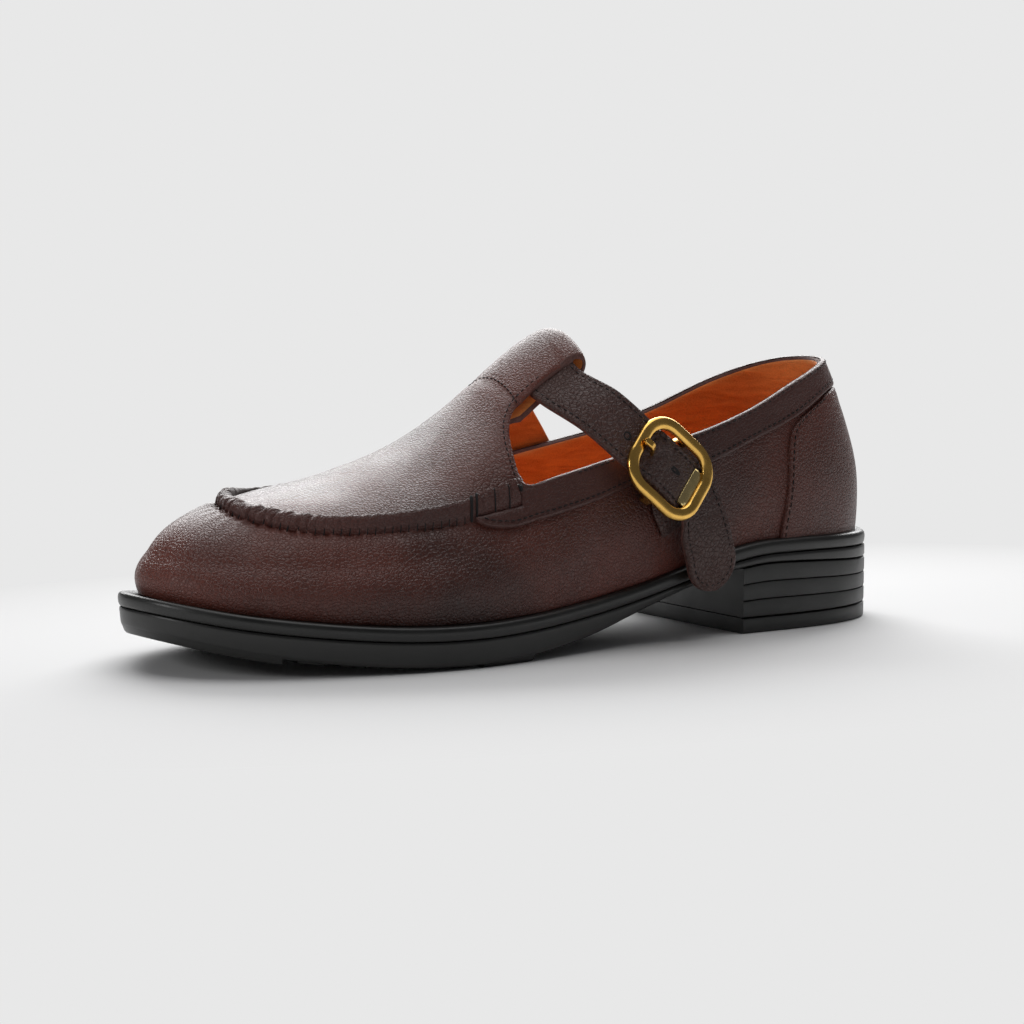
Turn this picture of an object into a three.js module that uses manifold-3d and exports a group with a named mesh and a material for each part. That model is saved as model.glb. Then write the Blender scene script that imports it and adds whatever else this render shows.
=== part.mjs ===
// Mary jane shoe, left, with a raised apron seam, a T-bar stem and one buckled strap.
// Millimetres. X runs to the outer side, the toe points along -Y, Z is up, and the floor is Z = 0.
// The functions work in shoe coordinates: x outward, s forward from the back of the sole, z up.
import * as THREE from 'three';
import { mergeVertices } from 'three/addons/utils/BufferGeometryUtils.js';
import Module from 'manifold-3d';

const wasm = await Module();
wasm.setup();

// Driving sizes of the sole
const SOLE_LENGTH = 267;
const BALL_WIDTH = 96;
const HEEL_HEIGHT = 28.4;
const HEEL_LENGTH = 66.5;
const TOE_SPRING = 10;
const WELT_THICKNESS = 4.4;
const WELT_WIDTH = 12;
const SEAT_THICKNESS = 4;
const FOREPART_THICKNESS = 7.8;
const LUG_DEPTH = 1.6;
const LUG_FLATTENING = 0.6;
const LUG_INSET = 1.4;
const LUG_LENGTH = 9;
const LUG_CHANNEL = 3.2;
const LUG_ROOT = 2;
const LUG_BEVEL = 0.5;
const TOP_PIECE_THICKNESS = 4.8;
const LIFT_COUNT = 3;
const GROOVE_HEIGHT = 0.9;
const GROOVE_DEPTH = 0.9;
const INSOLE_THICKNESS = 3;

// Driving sizes of the last and the upper
const INSTEP_RISE = 64;
const BACK_RISE = 56.4;
const BACK_INSET = 4.6;
const TOE_INSET = 6;
const WALL = 1.9;
const BAND_THICKNESS = 1.3;
const COUNTER_THICKNESS = 1.1;
const SEAM_HEIGHT = 2;
const GAP = 0.3;
const STEM_WIDTH = 27;
const STEM_SHIFT = 0.8;
const MEDIAL_DROP = 3;
const LEVEL_SHARE = 0.33;
const BAND_END_RISE = 1;
const LOOP_WALL = 1.2;
const LOOP_TUCK = 0.15;
const LOOP_LIFT = 2.2;

// Driving sizes of the strap and the buckle
const STRAP_WIDTH = 18.5;
const STRAP_THICKNESS = 2.4;
const STRAP_NARROWING = 0.7;
const LOOP_SLACK = 1.2;
const STRAP_TAIL = 29;
const CHAPE_WIDTH = 16;
const CHAPE_LENGTH = 18;
const CHAPE_THICKNESS = 1.2;
const BUCKLE_LENGTH = 28;
const BUCKLE_WIDTH = 25.4;
const BUCKLE_CORNER = 9;
const BAR_WIDTH = 2.9;
const BAR_THICKNESS = 2.6;
const CENTRE_BAR_WIDTH = 3;
const CENTRE_BAR_THICKNESS = 1.6;
const POST_WIDTH = 2.3;
const PLATE_WIDTH = 12;
const PLATE_LENGTH = 3.5;
const PLATE_THICKNESS = 0.9;
const PLATE_SETBACK = 2.75;
const PLATE_SINK = 0.4;
const PRONG_WIDTH = 2.2;
const PRONG_THICKNESS = 1.3;
const STRIP_SOFTNESS = 0.3;
const STRIP_SOFT_LIMIT = 1.5;

// Mesh density
const AROUND = 60;
const PROFILE = 13;

// Sizes that follow from the driving ones
const FORE_HEIGHT = WELT_THICKNESS + FOREPART_THICKNESS + LUG_DEPTH - LUG_FLATTENING;
const SEAT_RISE = HEEL_HEIGHT - FORE_HEIGHT;
const BAND_FACE = GAP + BAND_THICKNESS;
const LOOP_CAVITY = STRAP_THICKNESS + LOOP_SLACK;

// Outline of the sole: along is a share of SOLE_LENGTH, lateral and medial are shares of BALL_WIDTH
const OUTLINE = [
  { along: 0, lateral: 0, medial: 0 },
  { along: 0.006, lateral: 0.099, medial: 0.099 },
  { along: 0.022, lateral: 0.182, medial: 0.182 },
  { along: 0.05, lateral: 0.25, medial: 0.25 },
  { along: 0.1, lateral: 0.305, medial: 0.302 },
  { along: 0.165, lateral: 0.329, medial: 0.321 },
  { along: 0.24, lateral: 0.335, medial: 0.3125 },
  { along: 0.32, lateral: 0.346, medial: 0.294 },
  { along: 0.41, lateral: 0.375, medial: 0.2875 },
  { along: 0.5, lateral: 0.422, medial: 0.323 },
  { along: 0.58, lateral: 0.469, medial: 0.383 },
  { along: 0.65, lateral: 0.494, medial: 0.4375 },
  { along: 0.73, lateral: 0.485, medial: 0.469 },
  { along: 0.8, lateral: 0.444, medial: 0.458 },
  { along: 0.87, lateral: 0.385, medial: 0.413 },
  { along: 0.93, lateral: 0.3, medial: 0.33 },
  { along: 0.97, lateral: 0.205, medial: 0.212 },
  { along: 0.99, lateral: 0.115, medial: 0.12 },
  { along: 1, lateral: -0.015, medial: 0.015 },
];

// Top of the sole: heel is a share of SEAT_RISE, spring a share of TOE_SPRING
const SOLE_TOP = [
  { along: 0, heel: 0.947, spring: 0 },
  { along: 0.08, heel: 1, spring: 0 },
  { along: 0.16, heel: 1.033, spring: 0 },
  { along: 0.22, heel: 1.013, spring: 0 },
  { along: 0.27, heel: 0.888, spring: 0 },
  { along: 0.33, heel: 0.645, spring: 0 },
  { along: 0.41, heel: 0.355, spring: 0 },
  { along: 0.5, heel: 0.145, spring: 0 },
  { along: 0.58, heel: 0.04, spring: 0 },
  { along: 0.66, heel: 0, spring: 0 },
  { along: 0.75, heel: 0, spring: 0.07 },
  { along: 0.85, heel: 0, spring: 0.32 },
  { along: 0.93, heel: 0, spring: 0.62 },
  { along: 1, heel: 0, spring: 1 },
];

// Thickness of the outsole from SEAT_THICKNESS, 0, to FOREPART_THICKNESS, 1
const OUTSOLE_BODY = [
  { along: 0, share: 0 },
  { along: 0.41, share: 0 },
  { along: 0.48, share: 0.58 },
  { along: 0.55, share: 0.9 },
  { along: 0.75, share: 1 },
  { along: 0.9, share: 0.79 },
  { along: 1, share: 0.47 },
];

// Ledge of sole outside the upper, as a share of BACK_INSET at the back and of TOE_INSET at the toe
const LEDGE = [
  { along: 0, back: 1, toe: 0 },
  { along: 0.2, back: 0.65, toe: 0 },
  { along: 0.4, back: 0.65, toe: 0 },
  { along: 0.65, back: 0.3, toe: 0.44 },
  { along: 0.85, back: 0, toe: 0.83 },
  { along: 1, back: 0, toe: 1 },
];

// Crest of the last: rise is a share of INSTEP_RISE above the heel seat, inward a share of BALL_WIDTH
const CREST = [
  { along: 0.131, rise: 1.4, inward: 0 },
  { along: 0.225, rise: 1.322, inward: 0.004 },
  { along: 0.337, rise: 1.213, inward: 0.01 },
  { along: 0.438, rise: 1.056, inward: 0.022 },
  { along: 0.491, rise: 0.939, inward: 0.026 },
  { along: 0.536, rise: 0.791, inward: 0.031 },
  { along: 0.562, rise: 0.702, inward: 0.035 },
  { along: 0.603, rise: 0.595, inward: 0.041 },
  { along: 0.644, rise: 0.506, inward: 0.047 },
  { along: 0.712, rise: 0.405, inward: 0.057 },
  { along: 0.775, rise: 0.347, inward: 0.068 },
  { along: 0.824, rise: 0.316, inward: 0.076 },
  { along: 0.869, rise: 0.2875, inward: 0.083 },
];

// Rim of the outsole: up is from the underside below, or from the welt's step
const OUTSOLE_RIM = [
  { level: 'underside', grow: -2.2, up: 0 },
  { level: 'underside', grow: -1, up: 0.9 },
  { level: 'step', grow: -0.6, up: -0.8 },
  { level: 'step', grow: -1, up: 0 },
];

// Rim of the welt: up is from its underside or from the top of the sole
const WELT_RIM = [
  { level: 'underside', grow: -0.7, up: 0 },
  { level: 'underside', grow: 0, up: 0.9 },
  { level: 'top', grow: 0, up: -1.3 },
  { level: 'top', grow: -0.4, up: -0.4 },
  { level: 'top', grow: -1.3, up: 0 },
];

// Profile of the last by station of its foot: round and full are exponents, bulge is a share of WALL
const PROFILES = [
  { along: 0, round: 1.6, full: 1, bulge: 0.63 },
  { along: 0.15, round: 1.4, full: 1, bulge: 0.63 },
  { along: 0.3, round: 1.05, full: 1, bulge: 0.65 },
  { along: 0.49, round: 0.95, full: 0.98, bulge: 0.79 },
  { along: 0.6, round: 0.92, full: 0.92, bulge: 1 },
  { along: 0.71, round: 0.9, full: 0.86, bulge: 1.15 },
  { along: 0.805, round: 0.88, full: 0.84, bulge: 1 },
  { along: 0.9, round: 0.98, full: 0.87, bulge: 0.84 },
  { along: 0.98, round: 1.08, full: 0.91, bulge: 0.74 },
];

// Stations where the crest ends and where its ends start to fan out
const CREST_FRONT = 0.854;
const CREST_BACK = 0.157;
const FAN_FRONT = 0.6;
const FAN_BACK = 0.337;
const FRONT_CROWDING = 2.5;
const BACK_CROWDING = 2.2;

// Collar edge and the lower edge of the collar band: rise is a share of BACK_RISE above the heel seat
const COLLAR = [
  { along: -0.04, rise: 1.02 },
  { along: 0.03, rise: 1.005 },
  { along: 0.07, rise: 0.985 },
  { along: 0.142, rise: 0.885 },
  { along: 0.228, rise: 0.73 },
  { along: 0.305, rise: 0.628 },
  { along: 0.398, rise: 0.553 },
  { along: 0.458, rise: 0.5 },
  { along: 0.52, rise: 0.443 },
  { along: 0.556, rise: 0.408 },
  { along: 0.564, rise: 0.417 },
  { along: 0.568, rise: 0.45 },
];
const BAND_LOWER = [
  { along: -0.04, rise: 0.87 },
  { along: 0.03, rise: 0.84 },
  { along: 0.086, rise: 0.806 },
  { along: 0.153, rise: 0.675 },
  { along: 0.221, rise: 0.567 },
  { along: 0.315, rise: 0.426 },
  { along: 0.406, rise: 0.37 },
  { along: 0.468, rise: 0.297 },
  { along: 0.529, rise: 0.24 },
  { along: 0.558, rise: 0.218 },
  { along: 0.589, rise: 0.193 },
  { along: 0.608, rise: 0.195 },
  { along: 0.628, rise: 0.211 },
  { along: 0.637, rise: 0.243 },
  { along: 0.641, rise: 0.282 },
];

// Front edge of the counter, from the collar band down to the sole
const COUNTER_EDGE = [
  { along: 0.1, rise: 0.765 },
  { along: 0.125, rise: 0.715 },
  { along: 0.148, rise: 0.66 },
  { along: 0.163, rise: 0.605 },
  { along: 0.172, rise: 0.498 },
  { along: 0.177, rise: 0.34 },
  { along: 0.181, rise: 0.206 },
  { along: 0.186, rise: 0.092 },
  { along: 0.189, rise: -0.1 },
];

// Apron seam's outer and inner edge in plan, from the outer side round the toe to the inner side: across is
// a share of the way from the crest to the foot line, below 0 on the inner side
const SEAM_OUTER = [
  { along: 0.573, across: 0.865 },
  { along: 0.605, across: 0.848 },
  { along: 0.642, across: 0.833 },
  { along: 0.69, across: 0.81 },
  { along: 0.729, across: 0.791 },
  { along: 0.76, across: 0.78 },
  { along: 0.79, across: 0.762 },
  { along: 0.819, across: 0.732 },
  { along: 0.845, across: 0.661 },
  { along: 0.864, across: 0.57 },
  { along: 0.877, across: 0.453 },
  { along: 0.882, across: 0.33 },
  { along: 0.88, across: 0.17 },
  { along: 0.873, across: 0 },
  { along: 0.862, across: -0.18 },
  { along: 0.85, across: -0.34 },
  { along: 0.838, across: -0.47 },
  { along: 0.82, across: -0.59 },
  { along: 0.797, across: -0.665 },
  { along: 0.765, across: -0.71 },
  { along: 0.73, across: -0.735 },
  { along: 0.69, across: -0.752 },
  { along: 0.642, across: -0.77 },
  { along: 0.605, across: -0.785 },
  { along: 0.573, across: -0.8 },
];
const SEAM_INNER = [
  { along: 0.573, across: 0.815 },
  { along: 0.605, across: 0.8 },
  { along: 0.642, across: 0.787 },
  { along: 0.69, across: 0.764 },
  { along: 0.728, across: 0.745 },
  { along: 0.757, across: 0.732 },
  { along: 0.784, across: 0.705 },
  { along: 0.81, across: 0.655 },
  { along: 0.833, across: 0.573 },
  { along: 0.849, across: 0.473 },
  { along: 0.859, across: 0.36 },
  { along: 0.862, across: 0.25 },
  { along: 0.86, across: 0.12 },
  { along: 0.854, across: 0 },
  { along: 0.844, across: -0.14 },
  { along: 0.832, across: -0.29 },
  { along: 0.819, across: -0.42 },
  { along: 0.802, across: -0.53 },
  { along: 0.782, across: -0.603 },
  { along: 0.754, across: -0.65 },
  { along: 0.722, across: -0.68 },
  { along: 0.685, across: -0.702 },
  { along: 0.642, across: -0.722 },
  { along: 0.605, across: -0.738 },
  { along: 0.573, across: -0.752 },
];

// Side of the T-bar stem in plan: out is a share of STEM_WIDTH from the stem's middle
const STEM_SIDE = [
  { along: 0.6, out: 1.3 },
  { along: 0.5615, out: 1.155 },
  { along: 0.563, out: 1.05 },
  { along: 0.561, out: 0.933 },
  { along: 0.558, out: 0.822 },
  { along: 0.5525, out: 0.707 },
  { along: 0.5445, out: 0.611 },
  { along: 0.5345, out: 0.555 },
  { along: 0.53, out: 0.54 },
];
const STEM_INNER_FLARE = 0.86;

// Stations of the stem's folded loop: its fold, the seam that closes it, and where it joins the stem
const LOOP_FOLD = 0.447;
const LOOP_SEAM = 0.53;
const LOOP_ROOT = 0.556;
const LOOP_START = 1.05;
const LOOP_BEND_SHARES = [0.2, 0.4, 0.6, 0.8];
const LOOP_FACE_SHARES = [0.75, 0.5, 0.25, 0];
const LOOP_UNDER_SHARES = [0, 0.3, 0.6, 0.9];

// Strap under the loop, its bow between loop and side, and its middle down the inner side: rise is a share
// of INSTEP_RISE above the heel seat, lift a share of its height on the collar band, tilt its slant there
const STRAP_CROSSING = 0.487;
const STRAP_LEAN = 0.0075;
const STRAP_SKEW = 0.004;
const LOOP_OVERRUN = 1.14;
const LOOP_STEPS = 8;
const LOOP_HEADROOM = 0.45;
const LOOP_FLATNESS = 0.8;
const STRAP_BOW = { outer: 2.4, inner: 0.8 };
const STRAP_TILT = Math.PI / 4.3;
const STRAP_INNER_SPAN = [
  { along: 0.44, rise: 0.555, lift: 0.95 },
  { along: 0.415, rise: 0.425, lift: 1 },
  { along: 0.386, rise: 0.27, lift: 1 },
];

// Buckle's middle, the way the strap runs through it, and the way its fixing strap runs down
const BUCKLE_PLACE = { along: 0.3745, rise: 0.372 };
const BUCKLE_RUN = { out: 0.172, back: 0.737, down: 0.654 };
const CHAPE_RUN = { back: 0.42, down: 0.905 };

// Rise and fall of the strap through the buckle: at is a share of half BUCKLE_LENGTH, high of BAR_THICKNESS
const STRAP_WAVE = [
  { at: -1, high: -0.62 },
  { at: -0.86, high: -0.62 },
  { at: -0.66, high: -0.55 },
  { at: -0.42, high: -0.12 },
  { at: 0, high: 0 },
  { at: 0.42, high: -0.12 },
  { at: 0.66, high: -0.55 },
  { at: 0.86, high: -0.62 },
  { at: 1, high: -0.62 },
];

// Strap's free tail below the buckle, in shares of STRAP_TAIL
const STRAP_HANG = [
  { out: 0.045, back: 0.1, down: 0.36 },
  { out: 0.04, back: 0.19, down: 0.68 },
  { out: 0.015, back: 0.26, down: 0.98 },
];

// Rounding of the tip, in shares of half STRAP_WIDTH back from its end
const TIP_SHARES = [0.98, 0.8, 0.55, 0.3, 0.12, 0.02];

// Fixing strap: at counts CHAPE_LENGTH down from the centre bar, high is its layer
const CHAPE_ROWS = [
  { at: -0.172, layer: 'hook' },
  { at: -0.167, layer: 'turn' },
  { at: -0.112, layer: 'bar' },
  { at: 0, layer: 'bar' },
  { at: 0.12, layer: 'bar' },
  { at: 0.24, layer: 'slope' },
  { at: 0.4, layer: 'band' },
  { at: 0.6, layer: 'quarter' },
  { at: 0.8, layer: 'quarter' },
  { at: 1, layer: 'quarter' },
];

// Where the fixing strap starts to turn down, and how fast, in shares of CHAPE_LENGTH; its pad on the side
const CHAPE_TURN_START = 0.2;
const CHAPE_TURN_LENGTH = 0.4;
const CHAPE_PAD = 0.3;

// Prong's route, in millimetres along the strap: high is from the centre bar, the strap or the upper bar
const PRONG_ROUTE = [
  { level: 'root', along: 0.8, high: 0 },
  { level: 'root', along: -4.2, high: 0 },
  { level: 'root', along: -5.4, high: 0.3 },
  { level: 'strap', along: -7.4, high: 0 },
  { level: 'over', along: -9.2, high: -1 },
  { level: 'over', along: -10.6, high: 0 },
  { level: 'over', along: -12.55, high: 0 },
  { level: 'over', along: -14.6, high: -0.2 },
];

// Tread bars and edge lugs under the forepart: from and to are shares of SOLE_LENGTH
const EDGE_LUGS = [
  { from: 0.885, to: 1.01 },
  { from: 0.575, to: 0.65 },
];
const TREAD_FROM = 0.49;
const TREAD_TO = 0.95;

// Smooth interpolation in a table of rows: column as a function of along
function curve(rows, column, along) {
  const xs = rows.map((row) => row.along);
  const ys = rows.map((row) => row[column]);
  return hermite(xs, ys, along);
}

function hermite(xs, ys, x) {
  const last = xs.length - 1;
  let i = 0;
  while (i < last - 1 && x >= xs[i + 1]) i += 1;
  const rise = (k) => (ys[k + 1] - ys[k]) / (xs[k + 1] - xs[k]);
  const span = (k) => xs[k + 1] - xs[k];
  const slope = (k) => {
    if (k === 0) return rise(0);
    if (k === last) return rise(last - 1);
    return (rise(k - 1) * span(k) + rise(k) * span(k - 1)) / (span(k) + span(k - 1));
  };
  const h = span(i);
  const t = (x - xs[i]) / h;
  const t2 = t * t;
  const t3 = t2 * t;
  return (2 * t3 - 3 * t2 + 1) * ys[i] + (t3 - 2 * t2 + t) * h * slope(i)
    + (-2 * t3 + 3 * t2) * ys[i + 1] + (t3 - t2) * h * slope(i + 1);
}

// The outline as one periodic function of the plan angle phi: 0 at the back, pi at the toe
const outlineKnots = (() => {
  const knots = [];
  for (const row of OUTLINE) {
    const phi = Math.acos(1 - 2 * row.along);
    if (row.along === 0) knots.push([0, 0]);
    else if (row.along === 1) knots.push([Math.PI, row.lateral * BALL_WIDTH]);
    else knots.push([phi, row.lateral * BALL_WIDTH], [-phi, -row.medial * BALL_WIDTH]);
  }
  knots.sort((a, b) => a[0] - b[0]);
  const turn = 2 * Math.PI;
  const before = knots.slice(-3).map(([phi, x]) => [phi - turn, x]);
  const after = knots.slice(0, 3).map(([phi, x]) => [phi + turn, x]);
  return [...before, ...knots, ...after];
})();
const outlinePhis = outlineKnots.map((knot) => knot[0]);
const outlineXs = outlineKnots.map((knot) => knot[1]);

function outlineAt(phi) {
  const turn = 2 * Math.PI;
  const wrapped = ((phi + Math.PI) % turn + turn) % turn - Math.PI;
  const s = SOLE_LENGTH * (1 - Math.cos(phi)) / 2;
  return { x: hermite(outlinePhis, outlineXs, wrapped), s };
}

function outward(phi) {
  const step = 1e-3;
  const a = outlineAt(phi - step);
  const b = outlineAt(phi + step);
  const length = Math.hypot(b.s - a.s, b.x - a.x);
  return { x: (b.s - a.s) / length, s: -(b.x - a.x) / length };
}

function soleEdge(phi, grow) {
  const p = outlineAt(phi);
  const n = outward(phi);
  return { x: p.x + n.x * grow, s: p.s + n.s * grow };
}

function soleTop(s) {
  const along = Math.min(Math.max(s / SOLE_LENGTH, 0), 1);
  return FORE_HEIGHT + curve(SOLE_TOP, 'heel', along) * SEAT_RISE
    + curve(SOLE_TOP, 'spring', along) * TOE_SPRING;
}

function soleUnderside(s) {
  const along = Math.min(Math.max(s / SOLE_LENGTH, 0), 1);
  const body = SEAT_THICKNESS + curve(OUTSOLE_BODY, 'share', along) * (FOREPART_THICKNESS - SEAT_THICKNESS);
  return soleTop(s) - WELT_THICKNESS - body;
}

function ledge(s) {
  const along = Math.min(Math.max(s / SOLE_LENGTH, 0), 1);
  return curve(LEDGE, 'back', along) * BACK_INSET + curve(LEDGE, 'toe', along) * TOE_INSET;
}

// Station on the crest that a station of the foot line runs up to: the ends of the foot line fan in
function crestStation(s) {
  const back = BACK_INSET;
  const front = SOLE_LENGTH - TOE_INSET;
  const fanFront = FAN_FRONT * SOLE_LENGTH;
  const fanBack = FAN_BACK * SOLE_LENGTH;
  const crestFront = CREST_FRONT * SOLE_LENGTH;
  const crestBack = CREST_BACK * SOLE_LENGTH;
  if (s > fanFront) {
    const k = (front - fanFront) / (crestFront - fanFront);
    const t = Math.min((s - fanFront) / (front - fanFront), 1);
    return fanFront + (crestFront - fanFront) * (k * t - (k - 1) * t ** FRONT_CROWDING);
  }
  if (s < fanBack) {
    const k = (fanBack - back) / (fanBack - crestBack);
    const t = Math.min((fanBack - s) / (fanBack - back), 1);
    const crowding = Math.min(BACK_CROWDING, k / (k - 1));
    return fanBack - (fanBack - crestBack) * (k * t - (k - 1) * t ** crowding);
  }
  return s;
}

// The last, h mm outside its own face: phi goes round in plan, theta from the foot line to the crest
function last(phi, theta, h) {
  const s0 = SOLE_LENGTH * (1 - Math.cos(phi)) / 2;
  const inset = ledge(s0);
  const foot = soleEdge(phi, h - inset);
  const footS = Math.min(Math.max(soleEdge(phi, -inset).s, BACK_INSET), SOLE_LENGTH - TOE_INSET);
  const crestS = crestStation(footS);
  const crestAt = (s) => HEEL_HEIGHT + curve(CREST, 'rise', s / SOLE_LENGTH) * INSTEP_RISE;
  const slope = crestAt(crestS + 0.5) - crestAt(crestS - 0.5);
  const crest = {
    x: -curve(CREST, 'inward', crestS / SOLE_LENGTH) * BALL_WIDTH,
    s: crestS,
    z: crestAt(crestS) + h * Math.hypot(1, slope),
  };
  const along = footS / SOLE_LENGTH;
  const inward = 1 - Math.max(Math.cos(theta), 0) ** curve(PROFILES, 'round', along);
  const up = Math.max(Math.sin(theta), 0) ** curve(PROFILES, 'full', along);
  const bulge = curve(PROFILES, 'bulge', along) * WALL * Math.sin(Math.min(2.2 * up, 1) * Math.PI);
  const n = outward(phi);
  const z0 = soleTop(foot.s);
  return {
    x: foot.x + (crest.x - foot.x) * inward + n.x * bulge,
    s: foot.s + (crest.s - foot.s) * inward + n.s * bulge,
    z: z0 + (crest.z - z0) * up,
  };
}

// The point of the last where two of its measures have given values, by search and Newton steps
function findOnLast(h, side, measure) {
  let phi = 0;
  let theta = 0;
  let best = Infinity;
  for (let i = 1; i < 40; i += 1) {
    for (let j = 1; j < 14; j += 1) {
      const tryPhi = side * Math.PI * i / 40;
      const tryTheta = Math.PI / 2 * j / 14;
      const [a, b] = measure(last(tryPhi, tryTheta, h));
      if (a * a + b * b < best) {
        best = a * a + b * b;
        phi = tryPhi;
        theta = tryTheta;
      }
    }
  }
  const step = 1e-4;
  for (let round = 0; round < 12; round += 1) {
    const [a, b] = measure(last(phi, theta, h));
    const [a1, b1] = measure(last(phi + step, theta, h));
    const [a2, b2] = measure(last(phi, theta + step, h));
    const m = [(a1 - a) / step, (a2 - a) / step, (b1 - b) / step, (b2 - b) / step];
    const det = m[0] * m[3] - m[1] * m[2];
    phi -= (a * m[3] - b * m[1]) / det;
    theta = Math.min(Math.max(theta - (b * m[0] - a * m[2]) / det, 0), Math.PI / 2 - 0.002);
  }
  return { phi, theta };
}

function lastNormal(phi, theta, h) {
  const step = 1e-3;
  const down = Math.min(theta, Math.PI / 2 - 0.05);
  const p = vector(last(phi, down, h));
  const a = vector(last(phi + step, down, h)).sub(p);
  const b = vector(last(phi, down + step, h)).sub(p);
  const n = new THREE.Vector3().crossVectors(a, b).normalize();
  return n.z < 0 || n.x * Math.sign(phi) < -0.5 ? n.negate() : n;
}

// A point over the last with its normal, by plan position or by side position
function overPlan(x, s, h) {
  const side = x + curve(CREST, 'inward', s / SOLE_LENGTH) * BALL_WIDTH >= 0 ? 1 : -1;
  const { phi, theta } = findOnLast(h, side, (p) => [p.x - x, p.s - s]);
  return { point: vector(last(phi, theta, h)), normal: lastNormal(phi, theta, h) };
}

function overSide(side, s, z, h) {
  const { phi, theta } = findOnLast(h, side, (p) => [p.s - s, p.z - z]);
  return { point: vector(last(phi, theta, h)), normal: lastNormal(phi, theta, h) };
}

function vector(p) {
  return new THREE.Vector3(p.x, p.s, p.z);
}

// Solids from rings of points: the rings are joined in turn, and each end is closed across the ring
function ringSolid(rings, closed = false) {
  const count = rings[0].length;
  const positions = rings.flat().flatMap((p) => [p.x, p.y, p.z]);
  const index = [];
  const joins = closed ? rings.length : rings.length - 1;
  for (let r = 0; r < joins; r += 1) {
    const low = r * count;
    const high = ((r + 1) % rings.length) * count;
    for (let i = 0; i < count; i += 1) {
      const j = (i + 1) % count;
      index.push(low + i, low + j, high + j, low + i, high + j, high + i);
    }
  }
  const cap = (base, order) => {
    for (let i = 0; i < count / 2; i += 1) {
      const across = [i, i + 1, count - i - 1, (count - i) % count].map((k) => base + k);
      const halves = [[0, 1, 2], [0, 2, 3]];
      for (const half of halves) index.push(...order.map((k) => across[half[k]]));
    }
  };
  if (!closed) {
    cap(0, [0, 2, 1]);
    cap((rings.length - 1) * count, [0, 1, 2]);
  }
  return toManifold(positions, index);
}

// A closed mesh in shoe coordinates becomes a solid in the shoe's frame, with its faces turned out
function toManifold(positions, index) {
  const placed = new THREE.BufferGeometry();
  const xyz = [];
  for (let i = 0; i < positions.length; i += 3) {
    xyz.push(positions[i], HEEL_LENGTH / 2 - positions[i + 1], positions[i + 2]);
  }
  placed.setAttribute('position', new THREE.Float32BufferAttribute(xyz, 3));
  placed.setIndex(index);
  const merged = mergeVertices(placed, 1e-5);
  const p = merged.attributes.position.array;
  const tri = Array.from(merged.index.array);
  const kept = [];
  let volume = 0;
  for (let i = 0; i < tri.length; i += 3) {
    const [a, b, c] = [tri[i], tri[i + 1], tri[i + 2]];
    if (a !== b && b !== c && c !== a) {
      kept.push(a, b, c);
      const [ax, ay, az] = [p[3 * a], p[3 * a + 1], p[3 * a + 2]];
      const [bx, by, bz] = [p[3 * b], p[3 * b + 1], p[3 * b + 2]];
      const [cx, cy, cz] = [p[3 * c], p[3 * c + 1], p[3 * c + 2]];
      volume += ax * (by * cz - bz * cy) + ay * (bz * cx - bx * cz) + az * (bx * cy - by * cx);
    }
  }
  if (volume < 0) {
    for (let i = 0; i < kept.length; i += 3) [kept[i + 1], kept[i + 2]] = [kept[i + 2], kept[i + 1]];
  }
  return new wasm.Manifold(new wasm.Mesh({
    numProp: 3,
    vertProperties: new Float32Array(p),
    triVerts: new Uint32Array(kept),
  }));
}

// A prism between two copies of an outline, which is given flat for the order of its corners
function prism(place, outline) {
  const flat = outline.map(([a, b]) => new THREE.Vector2(a, b));
  if (THREE.ShapeUtils.isClockWise(flat)) {
    flat.reverse();
  }
  const faces = THREE.ShapeUtils.triangulateShape(flat, []);
  const count = flat.length;
  const positions = [0, 1].flatMap((end) => flat.flatMap((p) => place(p.x, p.y, end)));
  const index = [];
  for (const [a, b, c] of faces) index.push(a, c, b, count + a, count + b, count + c);
  for (let i = 0; i < count; i += 1) {
    const j = (i + 1) % count;
    index.push(i, j, count + j, i, count + j, count + i);
  }
  return toManifold(positions, index);
}

// A prism across the shoe from a side outline of [s, z] points, which sinks towards the inner side
function sidePrism(outline) {
  const reach = BALL_WIDTH;
  const sinking = MEDIAL_DROP / (2 * LEVEL_SHARE * BALL_WIDTH);
  return prism((s, z, end) => {
    const x = end === 0 ? -reach : reach;
    return [x, s, z + (x - LEVEL_SHARE * BALL_WIDTH) * sinking];
  }, outline);
}

// A prism up through the shoe from a plan outline of [x, s] points
function planPrism(outline, low, high) {
  return prism((x, s, end) => [x, s, end === 0 ? low : high], outline);
}

// Plan angles of the rings that go round the shoe, from the back
const range = (count) => Array.from({ length: count }, (_, i) => i);
const ANGLES = range(AROUND).map((i) => {
  const phi = 2 * Math.PI * i / AROUND;
  return phi > Math.PI ? phi - 2 * Math.PI : phi;
});
const CREST_SLIT = 0.03;

// The last as one closed solid, h mm outside its face, with its foot line moved up by lift
function lastSolid(h, lift) {
  const up = new THREE.Vector3(0, 0, 1);
  const ring = (theta, rise) => ANGLES.map((phi) => vector(last(phi, theta, h)).addScaledVector(up, rise));
  const angles = range(PROFILE).map((i) => (Math.PI / 2 - CREST_SLIT) * (i + 1) / PROFILE);
  const foot = lift > 0 ? [ring(0, lift)] : [ring(0, lift), ring(0, 0)];
  return ringSolid([...foot, ...angles.map((theta) => ring(theta, 0))]);
}

function footRing(grow, height) {
  return ANGLES.map((phi) => {
    const p = soleEdge(phi, grow(outlineAt(phi).s));
    return new THREE.Vector3(p.x, p.s, height(p.s));
  });
}

const SIDE_TOP = HEEL_HEIGHT + 2 * INSTEP_RISE;
const sideRow = (row) => [row.along * SOLE_LENGTH, HEEL_HEIGHT + row.rise * BACK_RISE];
const lowered = (rows, by) => rows.map(([s, z]) => [s, z - by]);

function addAll(solids) {
  return solids.reduce((all, one) => all.add(one));
}

function plan(ring) {
  return ring.map((p) => [p.x, p.y]);
}

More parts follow.
